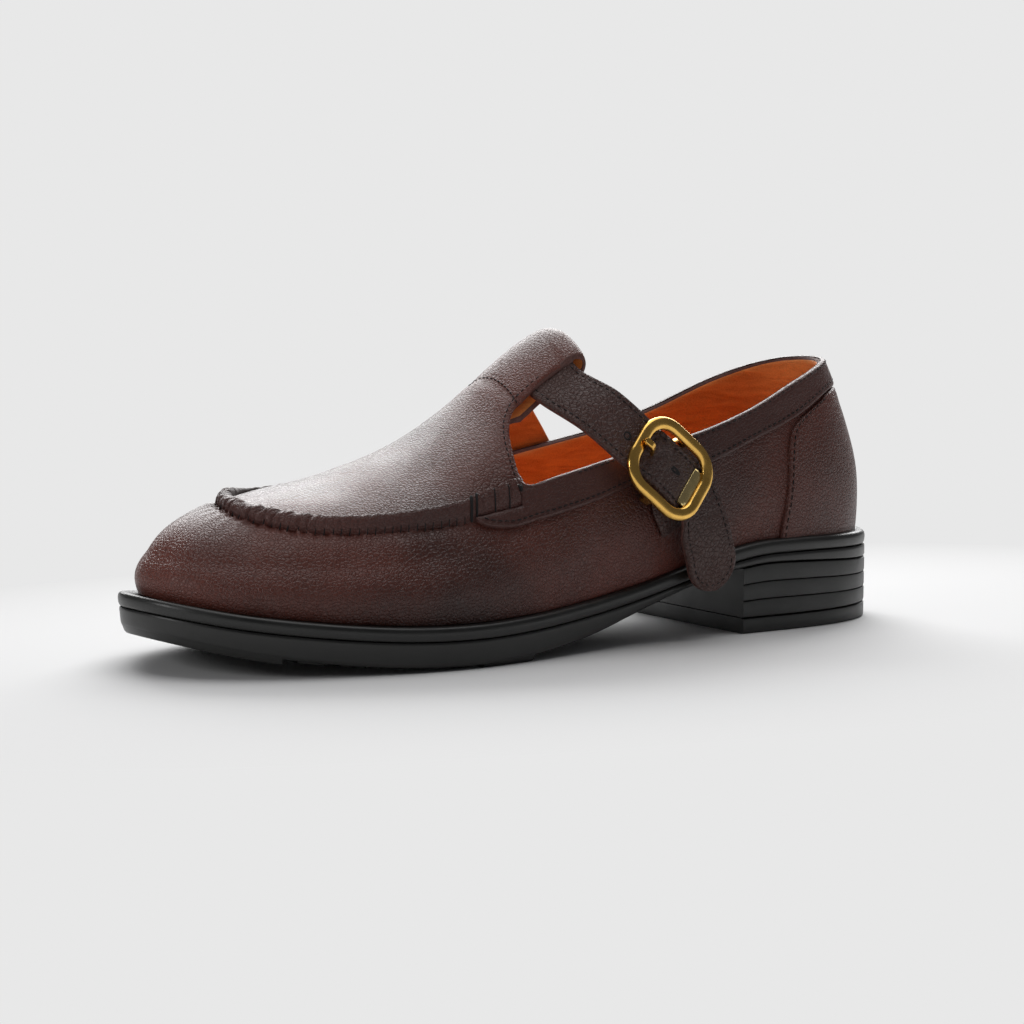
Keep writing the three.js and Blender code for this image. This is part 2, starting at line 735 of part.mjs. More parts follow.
// Outsole: a body that carries the welt in a step round its top, with edge lugs and tread bars below
function makeOutsole() {
  const levels = {
    underside: soleUnderside,
    step: (s) => soleTop(s) - WELT_THICKNESS - GAP,
  };
  const platform = () => -WELT_WIDTH - GAP;
  const body = ringSolid([
    ...OUTSOLE_RIM.map((row) => footRing(() => row.grow, (s) => levels[row.level](s) + row.up)),
    footRing(platform, levels.step),
    footRing(platform, soleTop),
  ]);
  const tread = (inset) => ringSolid([
    footRing(() => -inset - LUG_DEPTH, (s) => Math.max(soleUnderside(s) - LUG_DEPTH, 0)),
    footRing(() => -inset, (s) => soleUnderside(s) + LUG_BEVEL),
    footRing(() => -inset - LUG_ROOT, (s) => soleUnderside(s) + LUG_ROOT),
  ]);
  const strip = (from, to) => planPrism([
    [-BALL_WIDTH, from],
    [BALL_WIDTH, from],
    [BALL_WIDTH, to],
    [-BALL_WIDTH, to],
  ], -LUG_DEPTH, HEEL_HEIGHT);
  const lugs = addAll(EDGE_LUGS.map((lug) => strip(lug.from * SOLE_LENGTH, lug.to * SOLE_LENGTH)));
  const hole = planPrism(plan(footRing(() => -LUG_INSET - LUG_LENGTH, () => 0)), -LUG_DEPTH, HEEL_HEIGHT);
  const rim = lugs.intersect(tread(LUG_INSET)).subtract(hole);
  const pitch = LUG_LENGTH + LUG_CHANNEL;
  const count = Math.floor((TREAD_TO - TREAD_FROM) * SOLE_LENGTH / pitch);
  const bars = range(count).map((i) => {
    const from = TREAD_FROM * SOLE_LENGTH + i * pitch;
    return strip(from, from + LUG_LENGTH);
  });
  return body.add(rim).add(addAll(bars).intersect(tread(LUG_INSET + LUG_LENGTH + LUG_CHANNEL)));
}

// Welt: a flat ring on the outsole's step, with a rounded rim
function makeWelt() {
  const levels = { underside: -WELT_THICKNESS, top: 0 };
  const profile = [
    { level: 'underside', grow: -WELT_WIDTH, up: 0 },
    ...WELT_RIM,
    { level: 'top', grow: -WELT_WIDTH, up: 0 },
  ];
  const ring = (row) => footRing(() => row.grow, (s) => soleTop(s) + levels[row.level] + row.up);
  return ringSolid(profile.map(ring), true);
}

// One level of the heel: the outline's back part, closed by the straight breast
function heelRing(grow, height) {
  const corner = Math.acos(1 - 2 * HEEL_LENGTH / SOLE_LENGTH);
  const stepsUp = 14;
  const side = (sign) => range(stepsUp).map((i) => {
    const phi = sign * corner * (i + 1) / stepsUp;
    const p = soleEdge(phi, grow);
    return new THREE.Vector3(p.x, i === stepsUp - 1 ? HEEL_LENGTH : p.s, height(p.s));
  });
  const back = soleEdge(0, grow);
  return [
    new THREE.Vector3(back.x, back.s, height(back.s)),
    ...side(1),
    new THREE.Vector3(0, HEEL_LENGTH, height(HEEL_LENGTH)),
    ...side(-1).reverse(),
  ];
}

// Heel: moulded as a stack of lifts with a groove at each joint
function makeHeel() {
  const low = TOP_PIECE_THICKNESS + GAP;
  const level = (share) => (s) => low + share * (soleUnderside(s) - GAP - low);
  const groove = GROOVE_HEIGHT / (HEEL_HEIGHT - WELT_THICKNESS - SEAT_THICKNESS - low) / 2;
  const grooves = range(LIFT_COUNT - 1).flatMap((i) => {
    const share = (i + 1) / LIFT_COUNT;
    return [
      heelRing(0, level(share - groove)),
      heelRing(-GROOVE_DEPTH, level(share)),
      heelRing(0, level(share + groove)),
    ];
  });
  return ringSolid([
    heelRing(-GROOVE_DEPTH, level(0)),
    heelRing(0, level(groove)),
    ...grooves,
    heelRing(0, level(1 - groove)),
    heelRing(-GROOVE_DEPTH, level(1)),
  ]);
}

function makeTopPiece() {
  return ringSolid([
    heelRing(-GROOVE_DEPTH, () => 0),
    heelRing(0, () => GROOVE_DEPTH),
    heelRing(0, () => TOP_PIECE_THICKNESS),
  ]);
}

function makeInsole() {
  const grow = (s) => -ledge(s) - WALL - 2 * GAP;
  return ringSolid([
    footRing(grow, (s) => soleTop(s) + GAP),
    footRing(grow, (s) => soleTop(s) + GAP + INSOLE_THICKNESS),
  ]);
}

// Region over the collar, open to the back and the top, and short of the throat
function overCollar() {
  const rows = COLLAR.map(sideRow);
  const [throat] = rows[rows.length - 1];
  return sidePrism([...rows, [throat, SIDE_TOP], [rows[0][0], SIDE_TOP]]);
}

// The stem in plan, between its two sides: it flares less on the inner side
function stemPlan() {
  const side = (sign, flare) => STEM_SIDE.map((row) => [
    STEM_SHIFT + sign * (0.5 + (row.out - 0.5) * flare) * STEM_WIDTH,
    row.along * SOLE_LENGTH,
  ]);
  return [...side(1, 1), ...side(-1, STEM_INNER_FLARE).reverse()];
}

// A point of the stem's loop or the strap in it: the loop's outer ends are pulled up by the strap
function overLoop(x, s, h) {
  const share = (x - STEM_SHIFT) / (STEM_WIDTH / 2);
  const back = (LOOP_SEAM - s / SOLE_LENGTH) / (LOOP_SEAM - LOOP_FOLD);
  const { point } = overPlan(x, s, h);
  point.z += LOOP_LIFT * share * share * Math.min(Math.max(back, 0), 1);
  return point;
}

// The stem's end: it folds back under itself round the strap and is sewn down again
function stemLoop(depthOut, grown) {
  const depth = 2 * LOOP_WALL + LOOP_CAVITY;
  const fold = LOOP_FOLD * SOLE_LENGTH;
  const seam = LOOP_SEAM * SOLE_LENGTH;
  const root = LOOP_ROOT * SOLE_LENGTH;
  const radius = depth / 2 - depthOut;
  const along = (share) => fold + (seam - fold) * share;
  const bend = LOOP_BEND_SHARES.map((share) => {
    const turn = Math.PI * share;
    return [fold - radius * Math.sin(turn), -depth / 2 + radius * Math.cos(turn)];
  });
  const face = LOOP_FACE_SHARES.map((share) => [along(share), -depthOut]);
  const under = LOOP_UNDER_SHARES.map((share) => [along(share), -depth + depthOut]);
  const outerStart = [[root, -LOOP_TUCK], [along(LOOP_START), 0]];
  const profile = depthOut === 0
    ? [...outerStart, ...face, ...bend, ...under, [root, -WALL + LOOP_TUCK]]
    : [[seam, -depthOut], ...face, ...bend, ...under];
  const width = STEM_WIDTH + 2 * grown;
  const ends = range(LOOP_STEPS + 1).map((i) => STEM_SHIFT + (i / LOOP_STEPS - 0.5) * width);
  if (profile.length % 2) profile.splice(1, 0, profile[0].map((v, k) => (v + profile[1][k]) / 2));
  return ringSolid(ends.map((x) => profile.map(([s, h]) => overLoop(x, s, h))));
}

// Upper: one hollow shell, open below and at the collar, with the stem and its loop
function makeUpper() {
  const shell = lastSolid(0, GAP).subtract(lastSolid(-WALL, -2 * WALL));
  const opening = overCollar().subtract(planPrism(stemPlan(), 0, SIDE_TOP));
  return shell.subtract(opening).add(stemLoop(0, 0)).subtract(stemLoop(LOOP_WALL, 1));
}

function layer(low, high) {
  return lastSolid(high, GAP).subtract(lastSolid(low, -2 * WALL));
}

// The seam in plan between the crest and the foot line of each side
function seamPlan(rows, grow) {
  return rows.map((row, i) => {
    const isEnd = i === 0 || i === rows.length - 1;
    const s = row.along * SOLE_LENGTH - (isEnd ? grow : 0);
    const sign = row.across < 0 ? -1 : 1;
    const crest = -curve(CREST, 'inward', row.along) * BALL_WIDTH;
    const foot = outlineAt(sign * Math.acos(1 - 2 * row.along)).x - sign * ledge(s);
    return [crest + Math.abs(row.across) * (foot - crest) + sign * grow, s];
  });
}

function makeMocSeam() {
  const ridge = planPrism(seamPlan(SEAM_OUTER, 0), HEEL_HEIGHT, SIDE_TOP)
    .subtract(planPrism(seamPlan(SEAM_INNER, 0), 0, SIDE_TOP + HEEL_HEIGHT));
  return layer(GAP, GAP + SEAM_HEIGHT).intersect(ridge);
}

function bandRegion(sink) {
  const top = COLLAR.filter((row) => row.along < LOOP_ROOT + 0.001).map(sideRow);
  const lower = lowered(BAND_LOWER.map(sideRow), sink);
  const [frontS, frontZ] = lower[lower.length - 1];
  return sidePrism([...top, [frontS, frontZ + BAND_END_RISE + sink], ...lower.reverse()]);
}

function makeCollarBand() {
  const seam = planPrism(seamPlan(SEAM_OUTER, GAP), HEEL_HEIGHT, SIDE_TOP);
  return layer(GAP, BAND_FACE).intersect(bandRegion(0)).subtract(seam);
}

// Counter: the panel round the heel, from the sole up to the collar band
function makeCounter() {
  const edge = COUNTER_EDGE.map(sideRow);
  const front = edge[edge.length - 1][0];
  const top = lowered(BAND_LOWER.map(sideRow), GAP).filter(([s]) => s < edge[0][0]);
  const region = sidePrism([[top[0][0], 0], ...top, ...edge, [front, 0]]);
  return layer(GAP, GAP + COUNTER_THICKNESS).intersect(region);
}

// A strip of leather or metal along points with normals: rows hold the middle line and half widths
function strip(rows, thickness) {
  const soft = Math.min(thickness, STRIP_SOFT_LIMIT) * STRIP_SOFTNESS;
  return ringSolid(rows.map((row, i) => {
    const before = rows[Math.max(i - 1, 0)].point;
    const after = rows[Math.min(i + 1, rows.length - 1)].point;
    const run = after.clone().sub(before).normalize();
    const across = row.across ?? run.clone().cross(row.normal).normalize();
    const normal = across.clone().cross(run).normalize();
    const w = row.half;
    const t = thickness / 2;
    const corners = [
      [w, 0],
      [w - soft, t],
      [0, t],
      [-w + soft, t],
      [-w, 0],
      [-w + soft, -t],
      [0, -t],
      [w - soft, -t],
    ];
    return corners.map(([a, b]) => row.point.clone().addScaledVector(across, a).addScaledVector(normal, b));
  }));
}

// Smooth line through control rows, with the way across them and their half widths carried along
function smoothRows(controls, count) {
  const line = new THREE.CatmullRomCurve3(controls.map((c) => c.point), false, 'centripetal');
  const last = controls.length - 1;
  return range(count + 1).map((i) => {
    const at = i / count;
    const k = Math.min(Math.floor(at * last), last - 1);
    const part = at * last - k;
    const half = controls[k].half + (controls[k + 1].half - controls[k].half) * part;
    const blend = controls[k].across.clone().lerp(controls[k + 1].across, part).normalize();
    return { point: line.getPoint(at), across: blend, half };
  });
}

// The buckle's own frame on the outer side: run down the strap, normal outward, across the strap
const onBand = BAND_FACE + 2 * GAP + STRAP_THICKNESS / 2;
const overBar = BAND_FACE + 4 * GAP + CENTRE_BAR_THICKNESS + CHAPE_THICKNESS + STRAP_THICKNESS / 2;
const buckle = (() => {
  const s = BUCKLE_PLACE.along * SOLE_LENGTH;
  const z = HEEL_HEIGHT + BUCKLE_PLACE.rise * INSTEP_RISE;
  const { point, normal } = overSide(1, s, z, 0);
  const run = new THREE.Vector3(BUCKLE_RUN.out, -BUCKLE_RUN.back, -BUCKLE_RUN.down);
  run.addScaledVector(normal, -run.dot(normal)).normalize();
  const across = new THREE.Vector3().crossVectors(run, normal);
  const centre = point.clone().addScaledVector(normal, overBar);
  const at = (u, v, n) => centre.clone().addScaledVector(run, u).addScaledVector(across, v)
    .addScaledVector(normal, n);
  return { run, normal, across, at };
})();
const strapDip = STRAP_WAVE[0].high * BAR_THICKNESS;
const ringLevel = strapDip + STRAP_THICKNESS / 2 + GAP + BAR_THICKNESS / 2;
const barLevel = BAND_FACE + GAP + CENTRE_BAR_THICKNESS / 2 - overBar;

// A box in the buckle's frame: middle and size along, across and out of the strap
function buckleBox(middle, size) {
  const corner = (a, b, c) => buckle.at(
    middle[0] + a * size[0] / 2,
    middle[1] + b * size[1] / 2,
    middle[2] + c * size[2] / 2,
  );
  const end = (a) => [corner(a, -1, -1), corner(a, 1, -1), corner(a, 1, 1), corner(a, -1, 1)];
  return ringSolid([end(-1), end(1)]);
}

function makeBuckleFrame() {
  const length = BUCKLE_LENGTH - BAR_WIDTH;
  const width = BUCKLE_WIDTH - BAR_WIDTH;
  const radius = BUCKLE_CORNER - BAR_WIDTH / 2;
  const corners = [[1, 1], [-1, 1], [-1, -1], [1, -1]];
  const route = corners.flatMap(([a, b], quarter) => range(7).map((i) => {
    const turn = Math.PI / 2 * (quarter + i / 6);
    return {
      u: a * (length / 2 - radius) + radius * Math.cos(turn),
      v: b * (width / 2 - radius) + radius * Math.sin(turn),
      turn,
    };
  }));
  const rings = route.map(({ u, v, turn }) => range(8).map((k) => {
    const angle = Math.PI / 4 * (k + 0.5);
    const out = BAR_WIDTH / 2 / Math.cos(Math.PI / 8) * Math.cos(angle);
    const up = BAR_THICKNESS / 2 / Math.cos(Math.PI / 8) * Math.sin(angle);
    return buckle.at(u + out * Math.cos(turn), v + out * Math.sin(turn), ringLevel + up);
  }));
  const post = (side) => buckleBox(
    [0, side * width / 2, (ringLevel + barLevel - CENTRE_BAR_THICKNESS / 2) / 2],
    [CENTRE_BAR_WIDTH, POST_WIDTH, ringLevel - barLevel + CENTRE_BAR_THICKNESS / 2],
  );
  const bar = buckleBox([0, 0, barLevel], [CENTRE_BAR_WIDTH, width, CENTRE_BAR_THICKNESS]);
  const plate = buckleBox(
    [length / 2 - PLATE_SETBACK, 0, ringLevel - PLATE_SINK],
    [PLATE_LENGTH, PLATE_WIDTH, PLATE_THICKNESS],
  );
  return ringSolid(rings, true).add(addAll([post(1), post(-1), bar, plate]));
}

// Prong: from the centre bar, up through the strap and over the upper bar
function prongSolid(slack) {
  const over = ringLevel + BAR_THICKNESS / 2 + GAP + PRONG_THICKNESS / 2;
  const root = barLevel + CENTRE_BAR_THICKNESS / 2 + GAP + PRONG_THICKNESS / 2;
  const levels = { root, strap: 0, over };
  const rows = PRONG_ROUTE.map((row, i) => ({
    point: buckle.at(row.along + (i === 0 ? slack : 0), 0, levels[row.level] + row.high),
    normal: buckle.normal,
    across: buckle.across,
    half: PRONG_WIDTH / 2 + slack,
  }));
  return strip(rows, PRONG_THICKNESS + 2 * slack);
}

// Rows along the strap: its middle, the way across it to its rear edge, and half its width
function strapRows() {
  const half = STRAP_WIDTH / 2;
  const between = (front, rear) => ({
    point: front.clone().add(rear).multiplyScalar(0.5),
    across: rear.clone().sub(front).normalize(),
    half,
  });
  const inLoop = range(LOOP_STEPS + 1).map((i) => {
    const share = (2 * i / LOOP_STEPS - 1) * LOOP_OVERRUN;
    const x = STEM_SHIFT + share * STEM_WIDTH / 2;
    const s = (STRAP_CROSSING - STRAP_SKEW * share - STRAP_LEAN * share * share) * SOLE_LENGTH;
    const depth = LOOP_WALL + LOOP_SLACK * LOOP_HEADROOM + STRAP_THICKNESS / 2;
    const place = (ds) => overLoop(x, s + ds, -depth);
    return between(place(half * LOOP_FLATNESS), place(-half * LOOP_FLATNESS));
  });
  const inner = STRAP_INNER_SPAN.map((row) => {
    const place = (d) => overSide(
      -1,
      row.along * SOLE_LENGTH + d * Math.cos(STRAP_TILT),
      HEEL_HEIGHT + row.rise * INSTEP_RISE - d * Math.sin(STRAP_TILT),
      row.lift * onBand,
    ).point;
    return between(place(half), place(-half));
  });
  const through = STRAP_WAVE.map((row) => ({
    point: buckle.at(row.at * BUCKLE_LENGTH / 2, 0, row.high * BAR_THICKNESS),
    across: buckle.across,
    half: half - STRAP_NARROWING * Math.cos(row.at * Math.PI / 2),
  }));
  const bridge = (from, to, bow) => {
    const across = from.across.clone().add(to.across).normalize();
    const run = to.point.clone().sub(from.point).normalize();
    const point = from.point.clone().add(to.point).multiplyScalar(0.5);
    return { point: point.addScaledVector(across.clone().cross(run), bow), across, half };
  };
  const low = through[through.length - 1].point;
  const hang = STRAP_HANG.map((row) => ({
    point: low.clone().add(new THREE.Vector3(row.out, -row.back, -row.down).multiplyScalar(STRAP_TAIL)),
    across: new THREE.Vector3(0, -row.down, row.back).normalize(),
    half,
  }));
  inner.reverse();
  return [
    ...inner,
    bridge(inner[inner.length - 1], inLoop[0], STRAP_BOW.inner),
    ...inLoop,
    bridge(inLoop[LOOP_STEPS], through[0], STRAP_BOW.outer),
    ...through,
    ...hang,
  ];
}

// Strap: from the inner side through the loop and the buckle to a round tip
function makeStrap() {
  const controls = strapRows();
  const rows = smoothRows(controls, 2 * (controls.length - 1));
  const end = rows[rows.length - 1];
  const radius = STRAP_WIDTH / 2;
  const body = rows.filter((row) => row.point.distanceTo(end.point) > radius);
  const run = end.point.clone().sub(rows[rows.length - 3].point).normalize();
  const rounded = TIP_SHARES.map((share) => ({
    point: end.point.clone().addScaledVector(run, -share * radius),
    across: end.across,
    half: radius * Math.sqrt(1 - (1 - share) ** 2),
  }));
  return strip([...body, ...rounded], STRAP_THICKNESS).subtract(prongSolid(GAP));
}

// Fixing strap: it hooks over the centre bar and is sewn to the quarter below the buckle
function makeChape() {
  const middle = CHAPE_THICKNESS / 2;
  const bar = BAND_FACE + GAP + CENTRE_BAR_THICKNESS + GAP + middle;
  const layers = {
    hook: BAND_FACE + GAP + middle,
    turn: BAND_FACE + GAP + CENTRE_BAR_THICKNESS - middle,
    bar,
    slope: (bar + BAND_FACE + GAP + middle) / 2,
    band: BAND_FACE + GAP + middle,
    quarter: GAP + middle + CHAPE_PAD,
  };
  const start = buckle.at(0, 0, -overBar);
  const rows = CHAPE_ROWS.map((row) => {
    const near = Math.min(Math.max((row.at - CHAPE_TURN_START) / CHAPE_TURN_LENGTH, 0), 1);
    const d = row.at * CHAPE_LENGTH;
    const straight = buckle.run.clone().multiplyScalar(d);
    const turned = new THREE.Vector3(0, -CHAPE_RUN.back, -CHAPE_RUN.down).multiplyScalar(d);
    const target = start.clone().add(straight.lerp(turned, near));
    const { point, normal } = overSide(1, target.y, target.z, 0);
    return { point: point.addScaledVector(normal, layers[row.layer]), normal, half: CHAPE_WIDTH / 2 };
  });
  return strip(rows, CHAPE_THICKNESS).subtract(prongSolid(GAP));
}

// Materials
const leather = new THREE.MeshStandardMaterial({ color: 0x4a302a, roughness: 0.55, metalness: 0 });
const burnished = new THREE.MeshStandardMaterial({ color: 0x523630, roughness: 0.5, metalness: 0 });
const lining = new THREE.MeshStandardMaterial({ color: 0xb5662a, roughness: 0.75, metalness: 0 });
const rubber = new THREE.MeshStandardMaterial({ color: 0x1f1f1e, roughness: 0.7, metalness: 0 });
const brass = new THREE.MeshStandardMaterial({ color: 0xc9962f, roughness: 0.3, metalness: 1 });

const shoe = new THREE.Group();

// A solid becomes a named mesh of the shoe
function addPiece(name, solid, material) {
  const mesh = solid.getMesh();
  const geometry = new THREE.BufferGeometry();
  geometry.setAttribute('position', new THREE.BufferAttribute(mesh.vertProperties, 3));
  geometry.setIndex(new THREE.BufferAttribute(mesh.triVerts, 1));
  geometry.computeVertexNormals();
  const piece = new THREE.Mesh(geometry, material);
  piece.name = name;
  shoe.add(piece);
}

addPiece('outsole', makeOutsole(), rubber);
addPiece('welt', makeWelt(), rubber);
addPiece('heel', makeHeel(), rubber);
addPiece('top_piece', makeTopPiece(), rubber);
addPiece('insole', makeInsole(), lining);
addPiece('upper', makeUpper(), leather);
addPiece('moc_seam', makeMocSeam(), burnished);
addPiece('collar_band', makeCollarBand(), burnished);
addPiece('counter', makeCounter(), leather);
addPiece('strap', makeStrap(), leather);
addPiece('chape', makeChape(), leather);
addPiece('buckle_frame', makeBuckleFrame(), brass);
addPiece('buckle_prong', prongSolid(0), brass);

export default shoe;
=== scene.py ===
import math

import bpy
import numpy as np
from mathutils import Matrix, Vector


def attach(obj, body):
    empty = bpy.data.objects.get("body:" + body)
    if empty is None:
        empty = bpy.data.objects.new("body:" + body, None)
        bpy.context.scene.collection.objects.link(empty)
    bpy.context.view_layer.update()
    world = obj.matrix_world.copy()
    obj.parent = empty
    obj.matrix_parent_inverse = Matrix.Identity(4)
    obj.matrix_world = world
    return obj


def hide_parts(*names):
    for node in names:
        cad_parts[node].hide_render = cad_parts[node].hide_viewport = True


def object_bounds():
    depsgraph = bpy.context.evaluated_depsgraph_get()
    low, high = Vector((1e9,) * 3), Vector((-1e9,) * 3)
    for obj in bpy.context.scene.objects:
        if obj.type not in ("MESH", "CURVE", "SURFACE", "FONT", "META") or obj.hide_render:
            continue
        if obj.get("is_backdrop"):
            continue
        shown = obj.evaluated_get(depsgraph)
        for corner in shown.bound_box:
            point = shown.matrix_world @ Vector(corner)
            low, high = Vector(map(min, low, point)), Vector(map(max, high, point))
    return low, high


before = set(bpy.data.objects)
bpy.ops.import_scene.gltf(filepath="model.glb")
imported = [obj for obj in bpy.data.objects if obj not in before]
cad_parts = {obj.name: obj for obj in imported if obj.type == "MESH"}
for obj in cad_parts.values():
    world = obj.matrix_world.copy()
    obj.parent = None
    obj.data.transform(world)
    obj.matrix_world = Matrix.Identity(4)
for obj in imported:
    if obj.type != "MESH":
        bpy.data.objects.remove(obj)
cad_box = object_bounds()

# Sizes in millimetres, in shoe coordinates: x outward, s forward from the sole's back, z up
LENGTH, BALL, HEEL_Z, HEEL_LENGTH, SPRING = 267.0, 96.0, 28.4, 66.5, 10.0
WELT_T, WELT_W, SEAT_T, FORE_T, LUG, FLAT = 4.4, 12.0, 4.0, 7.8, 1.6, 0.6
TOP_T, GROOVE, GAP, WALL = 4.8, 0.9, 0.3, 1.9
INSTEP, BACK_RISE, BACK_INSET, TOE_INSET = 64.0, 56.4, 4.6, 6.0
BAND_T, COUNTER_T, SEAM_H = 1.3, 1.1, 2.0
STEM_W, STEM_SHIFT, DROP, FLARE = 27.0, 0.8, 3.0, 0.86
STRAP_W, STRAP_T, NARROW, SLACK, TAIL = 18.5, 2.4, 0.7, 1.2, 29.0
LOOP_WALL, LOOP_LIFT = 1.2, 1.2
CHAPE_W, CHAPE_L, CHAPE_T = 16.0, 18.0, 1.2
BUCKLE_L, BUCKLE_W, BUCKLE_R, BAR_W, BAR_T = 28.0, 25.4, 9.0, 2.9, 2.6
MID_W, MID_T, PLATE_W, PLATE_T, PRONG_W, PRONG_T = 3.0, 1.6, 12.0, 0.9, 2.2, 1.3
FORE_Z = WELT_T + FORE_T + LUG - FLAT
SEAT_RISE = HEEL_Z - FORE_Z
BAND_FACE = GAP + BAND_T
CAVITY = STRAP_T + SLACK
SEAM_PINCHES = 76
BAR_SPREAD, BAR_OUTSET = 1.4, 0.5
# Stitches of the strap: pitch, length and radius
STRAP_STITCH = (2.2, 1.5, 0.18)
# The stage, in metres: half the floor's side and the half axes of the field that takes the shoe's shadow
FLOOR_HALF = 40
SHADOW_FIELD = (0.11, 0.19)
PAPER_LIGHT = 0.807

# Tables: shares of the sizes above
OUTLINE = np.array([
    (0, 0, 0), (0.006, 0.099, 0.099), (0.022, 0.182, 0.182), (0.05, 0.25, 0.25), (0.1, 0.305, 0.302),
    (0.165, 0.329, 0.321), (0.24, 0.335, 0.3125), (0.32, 0.346, 0.294), (0.41, 0.375, 0.2875),
    (0.5, 0.422, 0.323), (0.58, 0.469, 0.383), (0.65, 0.494, 0.4375), (0.73, 0.485, 0.469),
    (0.8, 0.444, 0.458), (0.87, 0.385, 0.413), (0.93, 0.3, 0.33), (0.97, 0.205, 0.212),
    (0.99, 0.115, 0.12), (1, -0.015, 0.015)])
SOLE_TOP = np.array([
    (0, 0.947, 0), (0.08, 1, 0), (0.16, 1.033, 0), (0.22, 1.013, 0), (0.27, 0.888, 0), (0.33, 0.645, 0),
    (0.41, 0.355, 0), (0.5, 0.145, 0), (0.58, 0.04, 0), (0.66, 0, 0), (0.75, 0, 0.07), (0.85, 0, 0.32),
    (0.93, 0, 0.62), (1, 0, 1)])
BODY = np.array([(0, 0), (0.41, 0), (0.48, 0.58), (0.55, 0.9), (0.75, 1), (0.9, 0.79), (1, 0.47)])
LEDGE = np.array([(0, 1, 0), (0.2, 0.65, 0), (0.4, 0.65, 0), (0.65, 0.3, 0.44), (0.85, 0, 0.83), (1, 0, 1)])
CREST = np.array([
    (0.131, 1.4, 0), (0.225, 1.322, 0.004), (0.337, 1.213, 0.01), (0.438, 1.056, 0.022),
    (0.491, 0.939, 0.026), (0.536, 0.791, 0.031), (0.562, 0.702, 0.035), (0.603, 0.595, 0.041),
    (0.644, 0.506, 0.047), (0.712, 0.405, 0.057), (0.775, 0.347, 0.068), (0.824, 0.316, 0.076),
    (0.869, 0.2875, 0.083)])
PROFILES = np.array([
    (0, 1.6, 1, 0.63), (0.15, 1.4, 1, 0.63), (0.3, 1.05, 1, 0.65), (0.49, 0.95, 0.98, 0.79),
    (0.6, 0.92, 0.92, 1), (0.71, 0.9, 0.86, 1.15), (0.805, 0.88, 0.84, 1), (0.9, 0.98, 0.87, 0.84),
    (0.98, 1.08, 0.91, 0.74)])
CREST_FRONT, CREST_BACK, FAN_FRONT, FAN_BACK, FRONT_CROWD, BACK_CROWD = 0.854, 0.157, 0.6, 0.337, 2.5, 2.2
COLLAR = np.array([
    (-0.04, 1.02), (0.03, 1.005), (0.07, 0.985), (0.142, 0.885), (0.228, 0.73), (0.305, 0.628),
    (0.398, 0.553), (0.458, 0.5), (0.52, 0.443), (0.556, 0.408), (0.564, 0.417), (0.568, 0.45)])
BAND_LOWER = np.array([
    (-0.04, 0.87), (0.03, 0.84), (0.086, 0.806), (0.153, 0.675), (0.221, 0.567), (0.315, 0.426),
    (0.406, 0.37), (0.468, 0.297), (0.529, 0.24), (0.558, 0.218), (0.589, 0.193), (0.608, 0.195),
    (0.628, 0.211), (0.637, 0.243), (0.641, 0.282)])
COUNTER_EDGE = np.array([
    (0.1, 0.765), (0.125, 0.715), (0.148, 0.66), (0.163, 0.605), (0.172, 0.498), (0.177, 0.34),
    (0.181, 0.206), (0.186, 0.092), (0.189, -0.1)])
SEAM_OUTER = np.array([
    (0.573, 0.865), (0.605, 0.848), (0.642, 0.833), (0.69, 0.81), (0.729, 0.791), (0.76, 0.78),
    (0.79, 0.762), (0.819, 0.732), (0.845, 0.661), (0.864, 0.57), (0.877, 0.453), (0.882, 0.33),
    (0.88, 0.17), (0.873, 0), (0.862, -0.18), (0.85, -0.34), (0.838, -0.47), (0.82, -0.59),
    (0.797, -0.665), (0.765, -0.71), (0.73, -0.735), (0.69, -0.752), (0.642, -0.77), (0.605, -0.785),
    (0.573, -0.8)])
SEAM_INNER = np.array([
    (0.573, 0.815), (0.605, 0.8), (0.642, 0.787), (0.69, 0.764), (0.728, 0.745), (0.757, 0.732),
    (0.784, 0.705), (0.81, 0.655), (0.833, 0.573), (0.849, 0.473), (0.859, 0.36), (0.862, 0.25),
    (0.86, 0.12), (0.854, 0), (0.844, -0.14), (0.832, -0.29), (0.819, -0.42), (0.802, -0.53),
    (0.782, -0.603), (0.754, -0.65), (0.722, -0.68), (0.685, -0.702), (0.642, -0.722), (0.605, -0.738),
    (0.573, -0.752)])
STEM_SIDE = np.array([
    (0.6, 1.3), (0.5615, 1.155), (0.563, 1.05), (0.561, 0.933), (0.558, 0.822), (0.5525, 0.707),
    (0.5445, 0.611), (0.5345, 0.555), (0.53, 0.54)])
FOLD, SEAM, ROOT = 0.447, 0.53, 0.556
CROSSING, LEAN, SKEW, OVERRUN, TILT = 0.487, 0.0075, 0.004, 1.14, math.pi / 4.3
BOW_OUTER, BOW_INNER = 2.4, 0.8
INNER_SPAN = ((0.44, 0.555, 0.95), (0.415, 0.425, 1), (0.386, 0.27, 1))
BUCKLE_AT, BUCKLE_RUN, CHAPE_RUN = (0.3745, 0.372), (0.172, -0.737, -0.654), (0.42, 0.905)
WAVE = ((-1, -0.62), (-0.86, -0.62), (-0.66, -0.55), (-0.42, -0.12), (0, 0), (0.42, -0.12),
        (0.66, -0.55), (0.86, -0.62), (1, -0.62))
HANG = ((0.045, 0.1, 0.36), (0.04, 0.19, 0.68), (0.015, 0.26, 0.98))


# The last and the sole, as the solids have them
def hermite(xs, ys, x):
    x = np.asarray(x, float)
    span = np.diff(xs)
    rise = np.diff(ys) / span
    slope = np.concatenate([[rise[0]], (rise[:-1] * span[1:] + rise[1:] * span[:-1]) / (span[1:]
                                                                                        + span[:-1]),
                                                                                        [rise[-1]]])
    i = np.clip(np.searchsorted(xs, x, side="right") - 1, 0, len(xs) - 2)
    h = span[i]
    t = (x - xs[i]) / h
    return ((2 * t**3 - 3 * t**2 + 1) * ys[i] + (t**3 - 2 * t**2 + t) * h * slope[i]
            + (3 * t**2 - 2 * t**3) * ys[i + 1] + (t**3 - t**2) * h * slope[i + 1])


